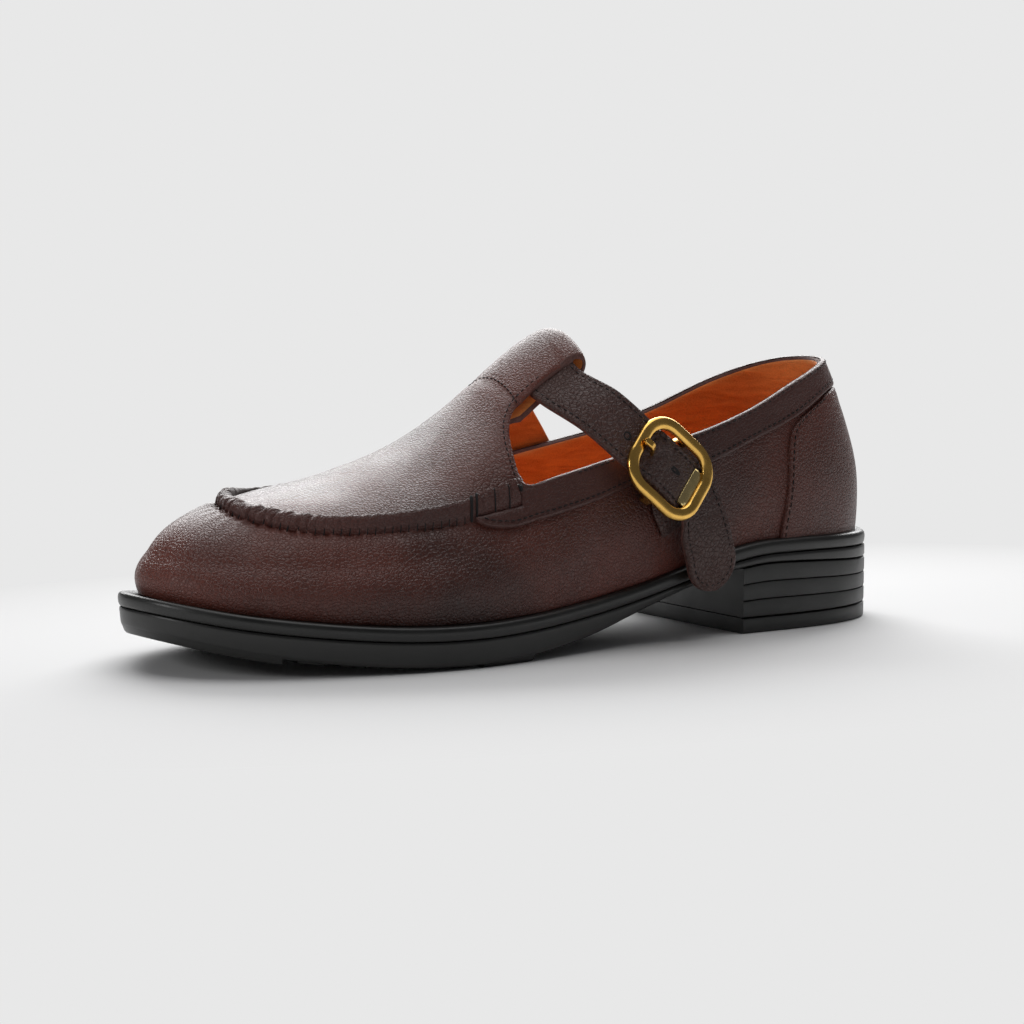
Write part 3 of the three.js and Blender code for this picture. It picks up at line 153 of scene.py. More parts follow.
def curve(rows, column, along):
    return hermite(rows[:, 0], rows[:, column], along)


def outline_knots():
    knots = [(0.0, 0.0), (math.pi, OUTLINE[-1, 1] * BALL)]
    for along, lateral, medial in OUTLINE[1:-1]:
        phi = math.acos(1 - 2 * along)
        knots += [(phi, lateral * BALL), (-phi, -medial * BALL)]
    knots = np.array(sorted(knots))
    turn = np.array([2 * math.pi, 0])
    return np.concatenate([knots[-3:] - turn, knots, knots[:3] + turn])


KNOTS = outline_knots()


def outline_at(phi):
    wrapped = np.mod(phi + math.pi, 2 * math.pi) - math.pi
    return hermite(KNOTS[:, 0], KNOTS[:, 1], wrapped), LENGTH * (1 - np.cos(phi)) / 2


def outward(phi):
    ax, a_s = outline_at(phi - 1e-3)
    bx, b_s = outline_at(phi + 1e-3)
    size = np.hypot(b_s - a_s, bx - ax)
    return (b_s - a_s) / size, -(bx - ax) / size


def sole_edge(phi, grow):
    x, s = outline_at(phi)
    nx, ns = outward(phi)
    return x + nx * grow, s + ns * grow


def sole_top(s):
    along = np.clip(s / LENGTH, 0, 1)
    return FORE_Z + curve(SOLE_TOP, 1, along) * SEAT_RISE + curve(SOLE_TOP, 2, along) * SPRING


def sole_under(s):
    along = np.clip(s / LENGTH, 0, 1)
    return sole_top(s) - WELT_T - SEAT_T - curve(BODY, 1, along) * (FORE_T - SEAT_T)


def ledge(s):
    along = np.clip(s / LENGTH, 0, 1)
    return curve(LEDGE, 1, along) * BACK_INSET + curve(LEDGE, 2, along) * TOE_INSET


def crest_station(s):
    back, front = BACK_INSET, LENGTH - TOE_INSET
    fan_front, fan_back = FAN_FRONT * LENGTH, FAN_BACK * LENGTH
    crest_front, crest_back = CREST_FRONT * LENGTH, CREST_BACK * LENGTH
    k = (front - fan_front) / (crest_front - fan_front)
    t = np.clip((s - fan_front) / (front - fan_front), 0, 1)
    ahead = fan_front + (crest_front - fan_front) * (k * t - (k - 1) * t**FRONT_CROWD)
    k = (fan_back - back) / (fan_back - crest_back)
    t = np.clip((fan_back - s) / (fan_back - back), 0, 1)
    behind = fan_back - (fan_back - crest_back) * (k * t - (k - 1) * t**min(BACK_CROWD, k / (k - 1)))
    return np.where(s > fan_front, ahead, np.where(s < fan_back, behind, s))


def foot_station(phi):
    s0 = LENGTH * (1 - np.cos(phi)) / 2
    return np.clip(sole_edge(phi, -ledge(s0))[1], BACK_INSET, LENGTH - TOE_INSET)


def crest_z(s):
    return HEEL_Z + curve(CREST, 1, s / LENGTH) * INSTEP


def last(phi, theta, h):
    phi, theta, h = np.broadcast_arrays(np.asarray(phi, float), theta, h)
    s0 = LENGTH * (1 - np.cos(phi)) / 2
    foot_x, foot_s = sole_edge(phi, h - ledge(s0))
    station = foot_station(phi)
    cs = crest_station(station)
    slope = crest_z(cs + 0.5) - crest_z(cs - 0.5)
    cx = -curve(CREST, 2, cs / LENGTH) * BALL
    cz = crest_z(cs) + h * np.hypot(1, slope)
    along = station / LENGTH
    inward = 1 - np.maximum(np.cos(theta), 0) ** curve(PROFILES, 1, along)
    up = np.maximum(np.sin(theta), 0) ** curve(PROFILES, 2, along)
    bulge = curve(PROFILES, 3, along) * WALL * np.sin(np.minimum(2.2 * up, 1) * math.pi)
    nx, ns = outward(phi)
    z0 = sole_top(foot_s)
    return np.stack([
        foot_x + (cx - foot_x) * inward + nx * bulge,
        foot_s + (cs - foot_s) * inward + ns * bulge,
        z0 + (cz - z0) * up], axis=-1)


def normal_at(phi, theta, h=0.0):
    down = np.minimum(theta, math.pi / 2 - 0.05)
    p = last(phi, down, h)
    n = np.cross(last(phi + 1e-3, down, h) - p, last(phi, down + 1e-3, h) - p)
    return n / np.linalg.norm(n, axis=-1, keepdims=True)


SEARCH_PHI, SEARCH_THETA = (a.ravel() for a in np.meshgrid(
    math.pi * np.arange(1, 60) / 60, math.pi / 2 * np.arange(1, 20) / 20, indexing="ij"))
SEARCH = {side: last(side * SEARCH_PHI, SEARCH_THETA, 0.0) for side in (1, -1)}


def find(side, target, axes, h):
    """Plan angle and rise of the last's points whose two coordinates on axes are target."""
    side, h = np.broadcast_arrays(np.asarray(side, float), np.broadcast_to(h, (len(target),)))[:2]
    phi, theta = np.empty(len(target)), np.empty(len(target))
    for sign in (1, -1):
        mine = np.nonzero(side == sign)[0]
        if len(mine):
            grid = SEARCH[sign][:, axes]
            far = ((grid[None] - target[mine][:, None]) ** 2).sum(axis=2)
            best = far.argmin(axis=1)
            phi[mine], theta[mine] = sign * SEARCH_PHI[best], SEARCH_THETA[best]
    step = 1e-4
    for _ in range(14):
        a = last(phi, theta, h)[:, axes]
        d1 = (last(phi + step, theta, h)[:, axes] - a) / step
        d2 = (last(phi, theta + step, h)[:, axes] - a) / step
        e = a - target
        det = d1[:, 0] * d2[:, 1] - d2[:, 0] * d1[:, 1]
        det = np.where(np.abs(det) < 1e-6, 1e-6, det)
        phi = phi - np.clip((e[:, 0] * d2[:, 1] - d2[:, 0] * e[:, 1]) / det, -0.3, 0.3)
        theta = np.clip(theta - (d1[:, 0] * e[:, 1] - e[:, 0] * d1[:, 1]) / det, 0, math.pi / 2 - 0.002)
    return phi, theta


def over_plan(x, s, h):
    x, s = np.broadcast_arrays(np.asarray(x, float), s)
    side = np.where(x + curve(CREST, 2, s / LENGTH) * BALL >= 0, 1, -1)
    phi, theta = find(side, np.stack([x, s], axis=1), [0, 1], h)
    return last(phi, theta, h), normal_at(phi, theta)


def over_side(side, s, z, h):
    s, z = np.broadcast_arrays(np.asarray(s, float), z)
    phi, theta = find(np.full(len(s), side), np.stack([s, z], axis=1), [1, 2], h)
    return last(phi, theta, h), normal_at(phi, theta)


# Plain helpers
def unit(v):
    v = np.asarray(v, float)
    return v / np.maximum(np.linalg.norm(v, axis=-1, keepdims=True), 1e-12)


def smooth_line(points, count):
    """Even points along a centripetal Catmull-Rom line."""
    p = np.asarray(points, float)
    p = np.concatenate([[2 * p[0] - p[1]], p, [2 * p[-1] - p[-2]]])
    gaps = np.maximum(np.linalg.norm(np.diff(p, axis=0), axis=1), 1e-9) ** 0.5
    t = np.concatenate([[0], np.cumsum(gaps)])
    out = []
    for i in range(1, len(p) - 2):
        u = np.linspace(t[i], t[i + 1], 24, endpoint=i == len(p) - 3)[:, None]
        a1 = (t[i] - u) / (t[i] - t[i - 1]) * p[i - 1] + (u - t[i - 1]) / (t[i] - t[i - 1]) * p[i]
        a2 = (t[i + 1] - u) / (t[i + 1] - t[i]) * p[i] + (u - t[i]) / (t[i + 1] - t[i]) * p[i + 1]
        a3 = (t[i + 2] - u) / (t[i + 2] - t[i + 1]) * p[i + 1] + (u - t[i + 1]) / (t[i + 2]
                                                                                   - t[i + 1]) * p[i + 2]
        b1 = (t[i + 1] - u) / (t[i + 1] - t[i - 1]) * a1 + (u - t[i - 1]) / (t[i + 1] - t[i - 1]) * a2
        b2 = (t[i + 2] - u) / (t[i + 2] - t[i]) * a2 + (u - t[i]) / (t[i + 2] - t[i]) * a3
        out.append((t[i + 1] - u) / (t[i + 1] - t[i]) * b1 + (u - t[i]) / (t[i + 1] - t[i]) * b2)
    return even(np.concatenate(out), count)


def even(line, count):
    far = np.concatenate([[0], np.cumsum(np.linalg.norm(np.diff(line, axis=0), axis=1))])
    at = np.linspace(0, far[-1], count)
    return np.stack([np.interp(at, far, line[:, k]) for k in range(line.shape[1])], axis=1)


def length_of(line):
    return float(np.linalg.norm(np.diff(line, axis=0), axis=1).sum())


def inside_by(poly, x, y):
    """Distance to a closed outline, positive inside it."""
    poly = np.asarray(poly, float)
    far = np.full(x.shape, np.inf)
    inside = np.zeros(x.shape, bool)
    for (ax, ay), (bx, by) in zip(poly, np.roll(poly, -1, axis=0)):
        dx, dy = bx - ax, by - ay
        size = dx * dx + dy * dy
        if size < 1e-12:
            continue
        t = np.clip(((x - ax) * dx + (y - ay) * dy) / size, 0, 1)
        far = np.minimum(far, np.hypot(x - ax - t * dx, y - ay - t * dy))
        if ay != by:
            inside ^= ((ay > y) != (by > y)) & (x < (bx - ax) * (y - ay) / (by - ay) + ax)
    return np.where(inside, far, -far)


def wave(p, size, seed=0.0):
    """Smooth uneven field between about -1 and 1, made of turned sine waves."""
    total = 0
    for k in range(6):
        a, b, c = math.sin(1.7 * k + seed), math.cos(2.3 * k + 1.3 * seed), math.sin(3.1 * k + 0.7 + seed)
        n = math.sqrt(a * a + b * b + c * c)
        reach = size * (0.7 + 0.13 * k)
        total = total + np.sin((p[..., 0] * a + p[..., 1] * b + p[..., 2] * c) / n / reach * 2 * math.pi
                               + 2.1 * k + seed)
    return total / 3.2


def step_up(x, low, high):
    t = np.clip((x - low) / (high - low), 0, 1)
    return t * t * (3 - 2 * t)


def add_mesh(name, points, faces, materials, of_face=None, node=None, sharp=None):
    """A mesh from shoe coordinates in millimetres; faces turn outward in those coordinates."""
    p = np.asarray(points, float)
    row = np.stack([p[:, 0], HEEL_LENGTH / 2 - p[:, 1], p[:, 2]], axis=1) / 1000
    mesh = bpy.data.meshes.new(name)
    mesh.from_pydata(row.tolist(), [], [tuple(int(i) for i in f[::-1]) for f in faces])
    for material in materials:
        mesh.materials.append(material)
    if of_face is not None:
        mesh.polygons.foreach_set("material_index", np.asarray(of_face, np.int32))
    mesh.polygons.foreach_set("use_smooth", np.ones(len(mesh.polygons), bool))
    mesh.update()
    if sharp:
        mesh.set_sharp_from_angle(angle=math.radians(sharp))
    obj = bpy.data.objects.new(name, mesh)
    bpy.context.collection.objects.link(obj)
    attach(obj, "root")
    if node:
        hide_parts(node)
    return obj


def loft(rings, closed_around=True, closed_along=False, caps=True):
    """Points and faces of rings joined in turn; each ring turns left seen from its successor."""
    rings = np.asarray(rings, float)
    n, m = rings.shape[:2]
    faces = []
    for i in range(n if closed_along else n - 1):
        j = (i + 1) % n
        for k in range(m if closed_around else m - 1):
            l = (k + 1) % m
            faces.append((i * m + k, i * m + l, j * m + l, j * m + k))
    if caps and not closed_along and closed_around:
        faces.append(tuple(range(m))[::-1])
        faces.append(tuple((n - 1) * m + k for k in range(m)))
    return rings.reshape(-1, 3), faces


def join(parts):
    points, faces, base = [], [], 0
    for p, f in parts:
        points.append(np.asarray(p, float))
        faces += [tuple(i + base for i in face) for face in f]
        base += len(p)
    return np.concatenate(points), faces


# The last's skin as a fine net that can be split and trimmed along smooth lines
class Net:
    def __init__(self, columns, rows, theta_from=0.0, theta_to=math.pi / 2):
        q = np.linspace(0, 1, columns + 1)
        lateral = math.pi * q
        sweep = np.linspace(0, math.pi, 4000)
        foot = np.maximum.accumulate(foot_station(-sweep) + 1e-9 * sweep)
        medial = np.interp(foot_station(lateral), foot, sweep)
        medial[0], medial[-1] = 0, math.pi
        around = np.concatenate([lateral, 2 * math.pi - medial[-2::-1]])
        theta = np.linspace(theta_from, theta_to, rows + 1)
        n, m = len(around), rows + 1
        self.phi, self.theta = (a.ravel() for a in np.meshgrid(around, theta, indexing="ij"))
        ids = np.arange(n * m).reshape(n, m)
        a, b, c, d = ids[:-1, :-1].ravel(), ids[1:, :-1].ravel(), ids[1:, 1:].ravel(), ids[:-1, 1:].ravel()
        self.tris = np.concatenate([np.stack([a, b, c], 1), np.stack([a, c, d], 1)])
        self.same = np.arange(n * m)
        self.same[ids[-1]] = ids[0]
        if theta_to > math.pi / 2 - 1e-6:
            for j in range(columns + 1):
                self.same[ids[n - 1 - j, -1]] = ids[j, -1]

    def at(self, h=0.0):
        return last(self.phi, self.theta, h)

    def split(self, field, keep_all=False):
        """Cuts the net where field(points) is 0 and keeps the side where it is positive."""
        f = field(self.at())
        f = np.where(np.abs(f) < 1e-3, 1e-3, f)
        up = f > 0
        tri = self.tris
        count = up[tri].sum(axis=1)
        whole = tri[(count == 3) | ((count == 0) & keep_all)]
        mixed = tri[(count == 1) | (count == 2)]
        if not len(mixed):
            self.tris = whole
            return self
        odd = np.where(up[mixed].sum(axis=1) == 1, up[mixed].argmax(axis=1), (~up[mixed]).argmax(axis=1))
        rows = np.arange(len(mixed))
        a, b, c = mixed[rows, odd], mixed[rows, (odd + 1) % 3], mixed[rows, (odd + 2) % 3]
        edges = np.sort(np.concatenate([np.stack([a, b], 1), np.stack([a, c], 1)]), axis=1)
        unique, back = np.unique(edges, axis=0, return_inverse=True)
        back = back.ravel()
        p0, p1 = self.phi[unique[:, 0]], self.phi[unique[:, 1]]
        t0, t1 = self.theta[unique[:, 0]], self.theta[unique[:, 1]]
        lo, hi = np.zeros(len(unique)), np.ones(len(unique))
        f0, f1 = f[unique[:, 0]].copy(), f[unique[:, 1]].copy()
        for _ in range(3):
            mid = np.clip(lo + (hi - lo) * f0 / (f0 - f1), 0.0, 1.0)
            value = field(last(p0 + (p1 - p0) * mid, t0 + (t1 - t0) * mid, 0.0))
            left = (value > 0) == (f0 > 0)
            lo, f0 = np.where(left, mid, lo), np.where(left, value, f0)
            hi, f1 = np.where(left, hi, mid), np.where(left, f1, value)
            f0, f1 = np.where(f0 == 0, 1e-9, f0), np.where(f1 == 0, -1e-9, f1)
        base = len(self.phi)
        self.phi = np.concatenate([self.phi, p0 + (p1 - p0) * mid])
        self.theta = np.concatenate([self.theta, t0 + (t1 - t0) * mid])
        self.same = np.concatenate([self.same, base + np.arange(len(unique))])
        ab, ac = base + back[:len(mixed)], base + back[len(mixed):]
        one = up[a]
        tip = np.stack([a, ab, ac], 1)
        rest = np.concatenate([np.stack([ab, b, c], 1), np.stack([ab, c, ac], 1)])
        keep_tip = tip if keep_all else tip[one]
        keep_rest = rest if keep_all else rest[np.concatenate([~one, ~one])]
        self.tris = np.concatenate([whole, keep_tip, keep_rest])
        return self

    def tidy(self):
        """Joins the doubled edges and drops what is unused."""
        tri = self.same[self.tris]
        tri = tri[(tri[:, 0] != tri[:, 1]) & (tri[:, 1] != tri[:, 2]) & (tri[:, 0] != tri[:, 2])]
        used, tri = np.unique(tri, return_inverse=True)
        self.phi, self.theta, self.tris = self.phi[used], self.theta[used], tri.reshape(-1, 3)
        self.same = np.arange(len(used))
        return self

    def shell(self, top, bottom):
        """Closed wall between two sets of points over the net, with the material index of each face."""
        n = len(self.phi)
        tri = self.tris
        sides = np.concatenate([tri[:, [0, 1]], tri[:, [1, 2]], tri[:, [2, 0]]])
        key = sides[:, 0].astype(np.int64) * n + sides[:, 1]
        back = sides[:, 1].astype(np.int64) * n + sides[:, 0]
        rim = sides[~np.isin(key, back)]
        faces = [tuple(t) for t in tri] + [tuple(t[::-1] + n) for t in tri]
        faces += [(b, a, a + n, b + n) for a, b in rim]
        kinds = [0] * len(tri) + [1] * len(tri) + [2] * len(rim)
        return np.concatenate([top, bottom]), faces, kinds


def mesh_normals(points, tris):
    n = np.zeros_like(points)
    face = np.cross(points[tris[:, 1]] - points[tris[:, 0]], points[tris[:, 2]] - points[tris[:, 0]])
    for k in range(3):
        np.add.at(n, tris[:, k], face)
    return unit(n)


SINK = DROP / (0.66 * BALL)


def level(p):
    """Height in the side view, with the inner side's drop taken out."""
    return p[:, 2] - (p[:, 0] - 0.33 * BALL) * SINK


def side_rows(rows, count=90, lower=0.0):
    line = np.stack([rows[:, 0] * LENGTH, HEEL_Z + rows[:, 1] * BACK_RISE - lower], axis=1)
    return smooth_line(line, count)


HIGH = HEEL_Z + 2 * INSTEP
COLLAR_LINE = side_rows(COLLAR, 120)
LOWER_LINE = side_rows(BAND_LOWER, 140)
EDGE_LINE = side_rows(COUNTER_EDGE, 60)
OPENING = np.concatenate([COLLAR_LINE, [[COLLAR_LINE[-1, 0], HIGH], [COLLAR_LINE[0, 0], HIGH]]])


def stem_sides():
    rows = smooth_line(STEM_SIDE[:, ::-1], 80)[:, ::-1]
    right = np.stack([STEM_SHIFT + rows[:, 1] * STEM_W, rows[:, 0] * LENGTH], axis=1)
    left = np.stack([STEM_SHIFT - (0.5 + (rows[:, 1] - 0.5) * FLARE) * STEM_W, rows[:, 0] * LENGTH], axis=1)
    return right, left


STEM_RIGHT, STEM_LEFT = stem_sides()
BACK_S = FOLD * LENGTH
STEM = np.concatenate([STEM_RIGHT, [[STEM_SHIFT + 0.5 * STEM_W, BACK_S],
                                    [STEM_SHIFT - 0.5 * STEM_W, BACK_S]],
                       STEM_LEFT[::-1]])


def seam_line(rows, grow=0.0, count=400):
    """Plan line of the apron seam from the inner side's rear end round the toe to the outer side's."""
    along, across = rows[::-1].T
    sign = np.where(across < 0, -1, 1)
    s = along * LENGTH
    crest = -curve(CREST, 2, along) * BALL
    foot = outline_at(sign * np.arccos(1 - 2 * along))[0] - sign * ledge(s)
    return smooth_line(np.stack([crest + np.abs(across) * (foot - crest) + sign * grow, s], axis=1), count)


OUTER_LINE = seam_line(SEAM_OUTER)


def opened(p):
    """Positive where the upper has leather, by its distance from the collar or the cut-outs."""
    over = inside_by(OPENING, p[:, 1], level(p))
    stem = inside_by(STEM, p[:, 0], p[:, 1])
    return np.maximum(-over, stem)


def banded(p):
    region = np.concatenate([COLLAR_LINE, LOWER_LINE[::-1]])
    return inside_by(region, p[:, 1], level(p))


# Materials, all in object space
def new_material(name, color, rough, metal=0.0):
    material = bpy.data.materials.new(name)
    material.use_nodes = True
    tree = material.node_tree
    shader = tree.nodes["Principled BSDF"]
    shader.inputs["Base Color"].default_value = (*color, 1)
    shader.inputs["Roughness"].default_value = rough
    shader.inputs["Metallic"].default_value = metal
    material.diffuse_color = (*color, 1)
    return material, tree, shader


def node(tree, kind, inputs=(), **values):
    made = tree.nodes.new(kind)
    for key, value in values.items():
        setattr(made, key, value)
    for key, value in dict(inputs).items():
        if isinstance(value, bpy.types.NodeSocket):
            tree.links.new(value, made.inputs[key])
        else:
            made.inputs[key].default_value = value
    return made


def place(tree):
    return tree.nodes.new("ShaderNodeTexCoord").outputs["Object"]


def noise(tree, spot, scale, detail=3.0, rough=0.5, distortion=0.0):
    return node(tree, "ShaderNodeTexNoise", {"Vector": spot, "Scale": scale, "Detail": detail,
                                             "Roughness": rough, "Distortion": distortion}).outputs["Fac"]


def ramp(tree, value, low, high, a=0.0, b=1.0):
    return node(tree, "ShaderNodeMapRange", {"Value": value, "From Min": low, "From Max": high,
                                             "To Min": a, "To Max": b}).outputs["Result"]


def blend_color(tree, factor, a, b):
    mix = tree.nodes.new("ShaderNodeMix")
    mix.data_type = "RGBA"
    if isinstance(factor, bpy.types.NodeSocket):
        tree.links.new(factor, mix.inputs["Factor"])
    else:
        mix.inputs["Factor"].default_value = factor
    for key, value in ((6, a), (7, b)):
        if isinstance(value, bpy.types.NodeSocket):
            tree.links.new(value, mix.inputs[key])
        else:
            mix.inputs[key].default_value = (*value, 1)
    return mix.outputs[2]


def maths(tree, operation, a, b=0.0):
    return node(tree, "ShaderNodeMath", {0: a, 1: b}, operation=operation).outputs[0]


def leather_material(name, dark, warm, pebble=0.00115, depth=0.00016, rough=0.43, creases=0.3):
    """Pebbled grain of rounded cells with fine pores, painted shade darkening the grooves between the cells,
    and warm burnish over the dark colour.
    """
    material, tree, shader = new_material(name, dark, rough)
    spot = place(tree)
    bent = node(tree, "ShaderNodeVectorMath", {0: spot, 1: node(tree, "ShaderNodeVectorMath", {
        0: node(tree, "ShaderNodeTexNoise",
                {"Vector": spot, "Scale": 700.0, "Detail": 1.0}).outputs["Color"],
        "Scale": 0.0007}, operation="SCALE").outputs[0]}, operation="ADD").outputs[0]
    cells = node(tree, "ShaderNodeTexVoronoi", {"Vector": bent, "Scale": 1 / pebble, "Randomness": 1.0},
                 feature="DISTANCE_TO_EDGE").outputs["Distance"]
    fine = node(tree, "ShaderNodeTexVoronoi", {"Vector": bent, "Scale": 2.3 / pebble},
                feature="F1").outputs["Distance"]
    grain = ramp(tree, cells, 0.0, 0.22)
    mottled = noise(tree, spot, 30.0, 4.0, 0.6)
    broad = noise(tree, spot, 11.0, 2.0, 0.5, 0.4)
    warmth = ramp(tree, maths(tree, "ADD", maths(tree, "MULTIPLY", broad, 0.75),
                              maths(tree, "MULTIPLY", mottled, 0.25)),
                  0.42, 0.62)
    base = blend_color(tree, warmth, dark, warm)
    # Painted shade: the grooves between the pebbles are blended towards a darker copy of the dark colour
    painted_groove_shade = blend_color(tree, maths(tree, "MULTIPLY", ramp(tree, cells, 0.06, 0.0), 0.55), base,
                        tuple(c * 0.35 for c in dark))
    tree.links.new(painted_groove_shade, shader.inputs["Base Color"])
    rough_spot = maths(tree, "ADD", ramp(tree, mottled, 0.3, 0.7, rough - 0.05, rough + 0.07),
                       ramp(tree, cells, 0.1, 0.0, 0.0, 0.15))
    tree.links.new(rough_spot, shader.inputs["Roughness"])
    height = maths(tree, "ADD", maths(tree, "MULTIPLY", grain, 1.0), maths(tree, "MULTIPLY", fine, -0.25))
    height = maths(tree, "ADD", height, maths(tree, "MULTIPLY", noise(tree, spot, 160.0, 2.0), creases * 3))
    bump = node(tree, "ShaderNodeBump", {"Height": height, "Strength": 0.8, "Distance": depth})
    tree.links.new(bump.outputs[0], shader.inputs["Normal"])
    shader.inputs["Coat Weight"].default_value = 0.05
    shader.inputs["Coat Roughness"].default_value = 0.3
    shader.inputs["Specular IOR Level"].default_value = 0.45
    return material


def lining_material(name, color, painted_crease_shade):
    material, tree, shader = new_material(name, color, 0.62)
    spot = place(tree)
    streaks = node(tree, "ShaderNodeMapping", {"Vector": spot, "Rotation": (0.5, 0.2, 0.1),
                                               "Scale": (90.0, 60.0, 420.0)}).outputs[0]
    wrinkle = node(tree, "ShaderNodeTexNoise", {"Vector": streaks, "Scale": 1.0, "Detail": 3.0,
                                                "Distortion": 0.8}).outputs["Fac"]
    nap = noise(tree, spot, 2600.0, 2.0)
    # Painted shade: the colour goes to the darker crease shade in the troughs of the wrinkles, where their
    # bump is low, mixed with random nap tone
    crease_shade_tone = maths(tree, "ADD", maths(tree, "MULTIPLY", wrinkle, 0.6), maths(tree, "MULTIPLY", nap, 0.4))
    tree.links.new(blend_color(tree, ramp(tree, crease_shade_tone, 0.35, 0.62), painted_crease_shade, color), shader.inputs["Base Color"])
    height = maths(tree, "ADD", wrinkle, maths(tree, "MULTIPLY", nap, 0.25))
    bump = node(tree, "ShaderNodeBump", {"Height": height, "Strength": 0.55, "Distance": 0.0007})
    tree.links.new(bump.outputs[0], shader.inputs["Normal"])
    shader.inputs["Sheen Weight"].default_value = 0.15
    return material


def rubber_material(name, color, rough=0.42):
    material, tree, shader = new_material(name, color, rough)
    spot = place(tree)
    haze = noise(tree, spot, 60.0, 4.0, 0.6)
    grit = noise(tree, spot, 2400.0, 2.0)
    tree.links.new(blend_color(tree, ramp(tree, haze, 0.35, 0.7), color, tuple(c * 1.5 for c in color)),
                   shader.inputs["Base Color"])
    tree.links.new(ramp(tree, haze, 0.3, 0.7, rough - 0.06, rough + 0.1), shader.inputs["Roughness"])
    bump = node(tree, "ShaderNodeBump", {"Height": maths(tree, "ADD", grit,
                                                         maths(tree, "MULTIPLY", haze, 0.5)),
                                         "Strength": 0.35, "Distance": 0.00008})
    tree.links.new(bump.outputs[0], shader.inputs["Normal"])
    return material


def edge_material(name, color, dark, rough=0.6):
    material, tree, shader = new_material(name, color, rough)
    spot = place(tree)
    fibre = noise(tree, spot, 1500.0, 3.0, 0.65)
    tree.links.new(blend_color(tree, ramp(tree, fibre, 0.35, 0.65), dark, color),
                   shader.inputs["Base Color"])
    bump = node(tree, "ShaderNodeBump", {"Height": fibre, "Strength": 0.5, "Distance": 0.0001})
    tree.links.new(bump.outputs[0], shader.inputs["Normal"])
    return material


def brass_material(name, color, rough):
    material, tree, shader = new_material(name, color, rough, 1.0)
    spot = place(tree)
    brushed = noise(tree, spot, 90.0, 3.0, 0.6)
    wear = noise(tree, spot, 220.0, 3.0)
    tree.links.new(blend_color(tree, ramp(tree, wear, 0.35, 0.7), tuple(c * 0.82 for c in color), color),
                   shader.inputs["Base Color"])
    tree.links.new(ramp(tree, brushed, 0.3, 0.7, rough - 0.05, rough + 0.07), shader.inputs["Roughness"])
    bump = node(tree, "ShaderNodeBump", {"Height": brushed, "Strength": 0.05, "Distance": 0.00004})
    tree.links.new(bump.outputs[0], shader.inputs["Normal"])
    return material


LEATHER = leather_material("upper_leather", (0.038, 0.0125, 0.0088), (0.125, 0.031, 0.02), rough=0.38)
SMOOTH = leather_material("band_leather", (0.04, 0.0135, 0.0105), (0.075, 0.0225, 0.0165), 0.0010, 0.00009,
                          0.42, 0.15)
STRAPPY = leather_material("strap_leather", (0.04, 0.0185, 0.0155), (0.066, 0.027, 0.021), 0.0014, 0.00026,
                           0.42, 0.5)
PINCHED = leather_material("seam_leather", (0.04, 0.0125, 0.0095), (0.09, 0.028, 0.021), 0.0011, 0.00018,
                           0.44, 0.6)
LINING = lining_material("lining_leather", (0.86, 0.31, 0.075), (0.6, 0.175, 0.032))
EDGE = edge_material("cut_edge", (0.13, 0.052, 0.042), (0.06, 0.022, 0.017))
# Dark material: painted shade on the apron seam's inner face, and the underside of the overlays
SEAM_SHADE_AND_UNDERSIDE = edge_material("painted_seam_shade_and_underside", (0.05, 0.024, 0.02), (0.025, 0.012, 0.01))
# Near-black thread, also used as the painted shade of the strap's holes
THREAD_AND_HOLE_SHADE = edge_material("thread", (0.006, 0.004, 0.0045), (0.003, 0.002, 0.002), 0.85)
RUBBER = rubber_material("sole_rubber", (0.0095, 0.0095, 0.0088), 0.36)
HEEL_RUBBER = rubber_material("heel_rubber", (0.0095, 0.01, 0.0092), 0.44)
BRASS = brass_material("buckle_brass", (0.93, 0.56, 0.14), 0.2)
PALE_BRASS = brass_material("plate_brass", (0.95, 0.74, 0.34), 0.2)


# Threads
def tube(line, radius, sides=6, rounded=True):
    line = np.asarray(line, float)
    run = unit(np.gradient(line, axis=0))
    side = np.cross(run, [0.31, 0.17, 0.93])
    side = unit(side)
    up = np.cross(side, run)
    size = np.full(len(line), radius)
    if rounded:
        size[0] = size[-1] = radius * 0.45
    turn = 2 * math.pi * np.arange(sides) / sides
    rings = (line[:, None] + size[:, None, None]
             * (np.cos(turn)[None, :, None] * side[:, None] + np.sin(turn)[None, :, None] * up[:, None]))
    return loft(rings[:, ::-1])


def stitches(line, normals, pitch, long, radius, sink=0.12):
    """Short rounded stitches along a line that lies on the leather."""
    total = length_of(line)
    far = np.concatenate([[0], np.cumsum(np.linalg.norm(np.diff(line, axis=0), axis=1))])
    parts = []
    for start in np.arange(0.3, total - long, pitch):
        at = start + long * np.array([0.0, 0.16, 0.5, 0.84, 1.0])
        p = np.stack([np.interp(at, far, line[:, k]) for k in range(3)], axis=1)
        n = unit(np.stack([np.interp(at, far, normals[:, k]) for k in range(3)], axis=1))
        lift = np.array([-radius, radius * 0.3, radius * 0.7, radius * 0.3, -radius]) - sink
        parts.append(tube(p + n * lift[:, None], radius))
    return parts


def trace(line, phi, count=160):
    """Rises where the last's side view crosses a line, for each plan angle."""
    theta = np.linspace(0.02, math.pi / 2 - 0.02, count)
    grid_phi, grid_theta = np.meshgrid(phi, theta, indexing="ij")
    p = last(grid_phi, grid_theta, 0.0)
    z = p[..., 2] - (p[..., 0] - 0.33 * BALL) * SINK
    gap = z - np.interp(p[..., 1], line[:, 0], line[:, 1])
    k = np.argmax(gap > 0, axis=1)
    k = np.clip(k, 1, count - 1)
    rows = np.arange(len(phi))
    a, b = gap[rows, k - 1], gap[rows, k]
    return theta[k - 1] + (theta[k] - theta[k - 1]) * np.clip(-a / (b - a), 0, 1)


def shifted(line, by):
    """A side line moved by a distance to its upper side."""
    run = unit(np.gradient(line, axis=0))
    return line + by * np.stack([-run[:, 1], run[:, 0]], axis=1)


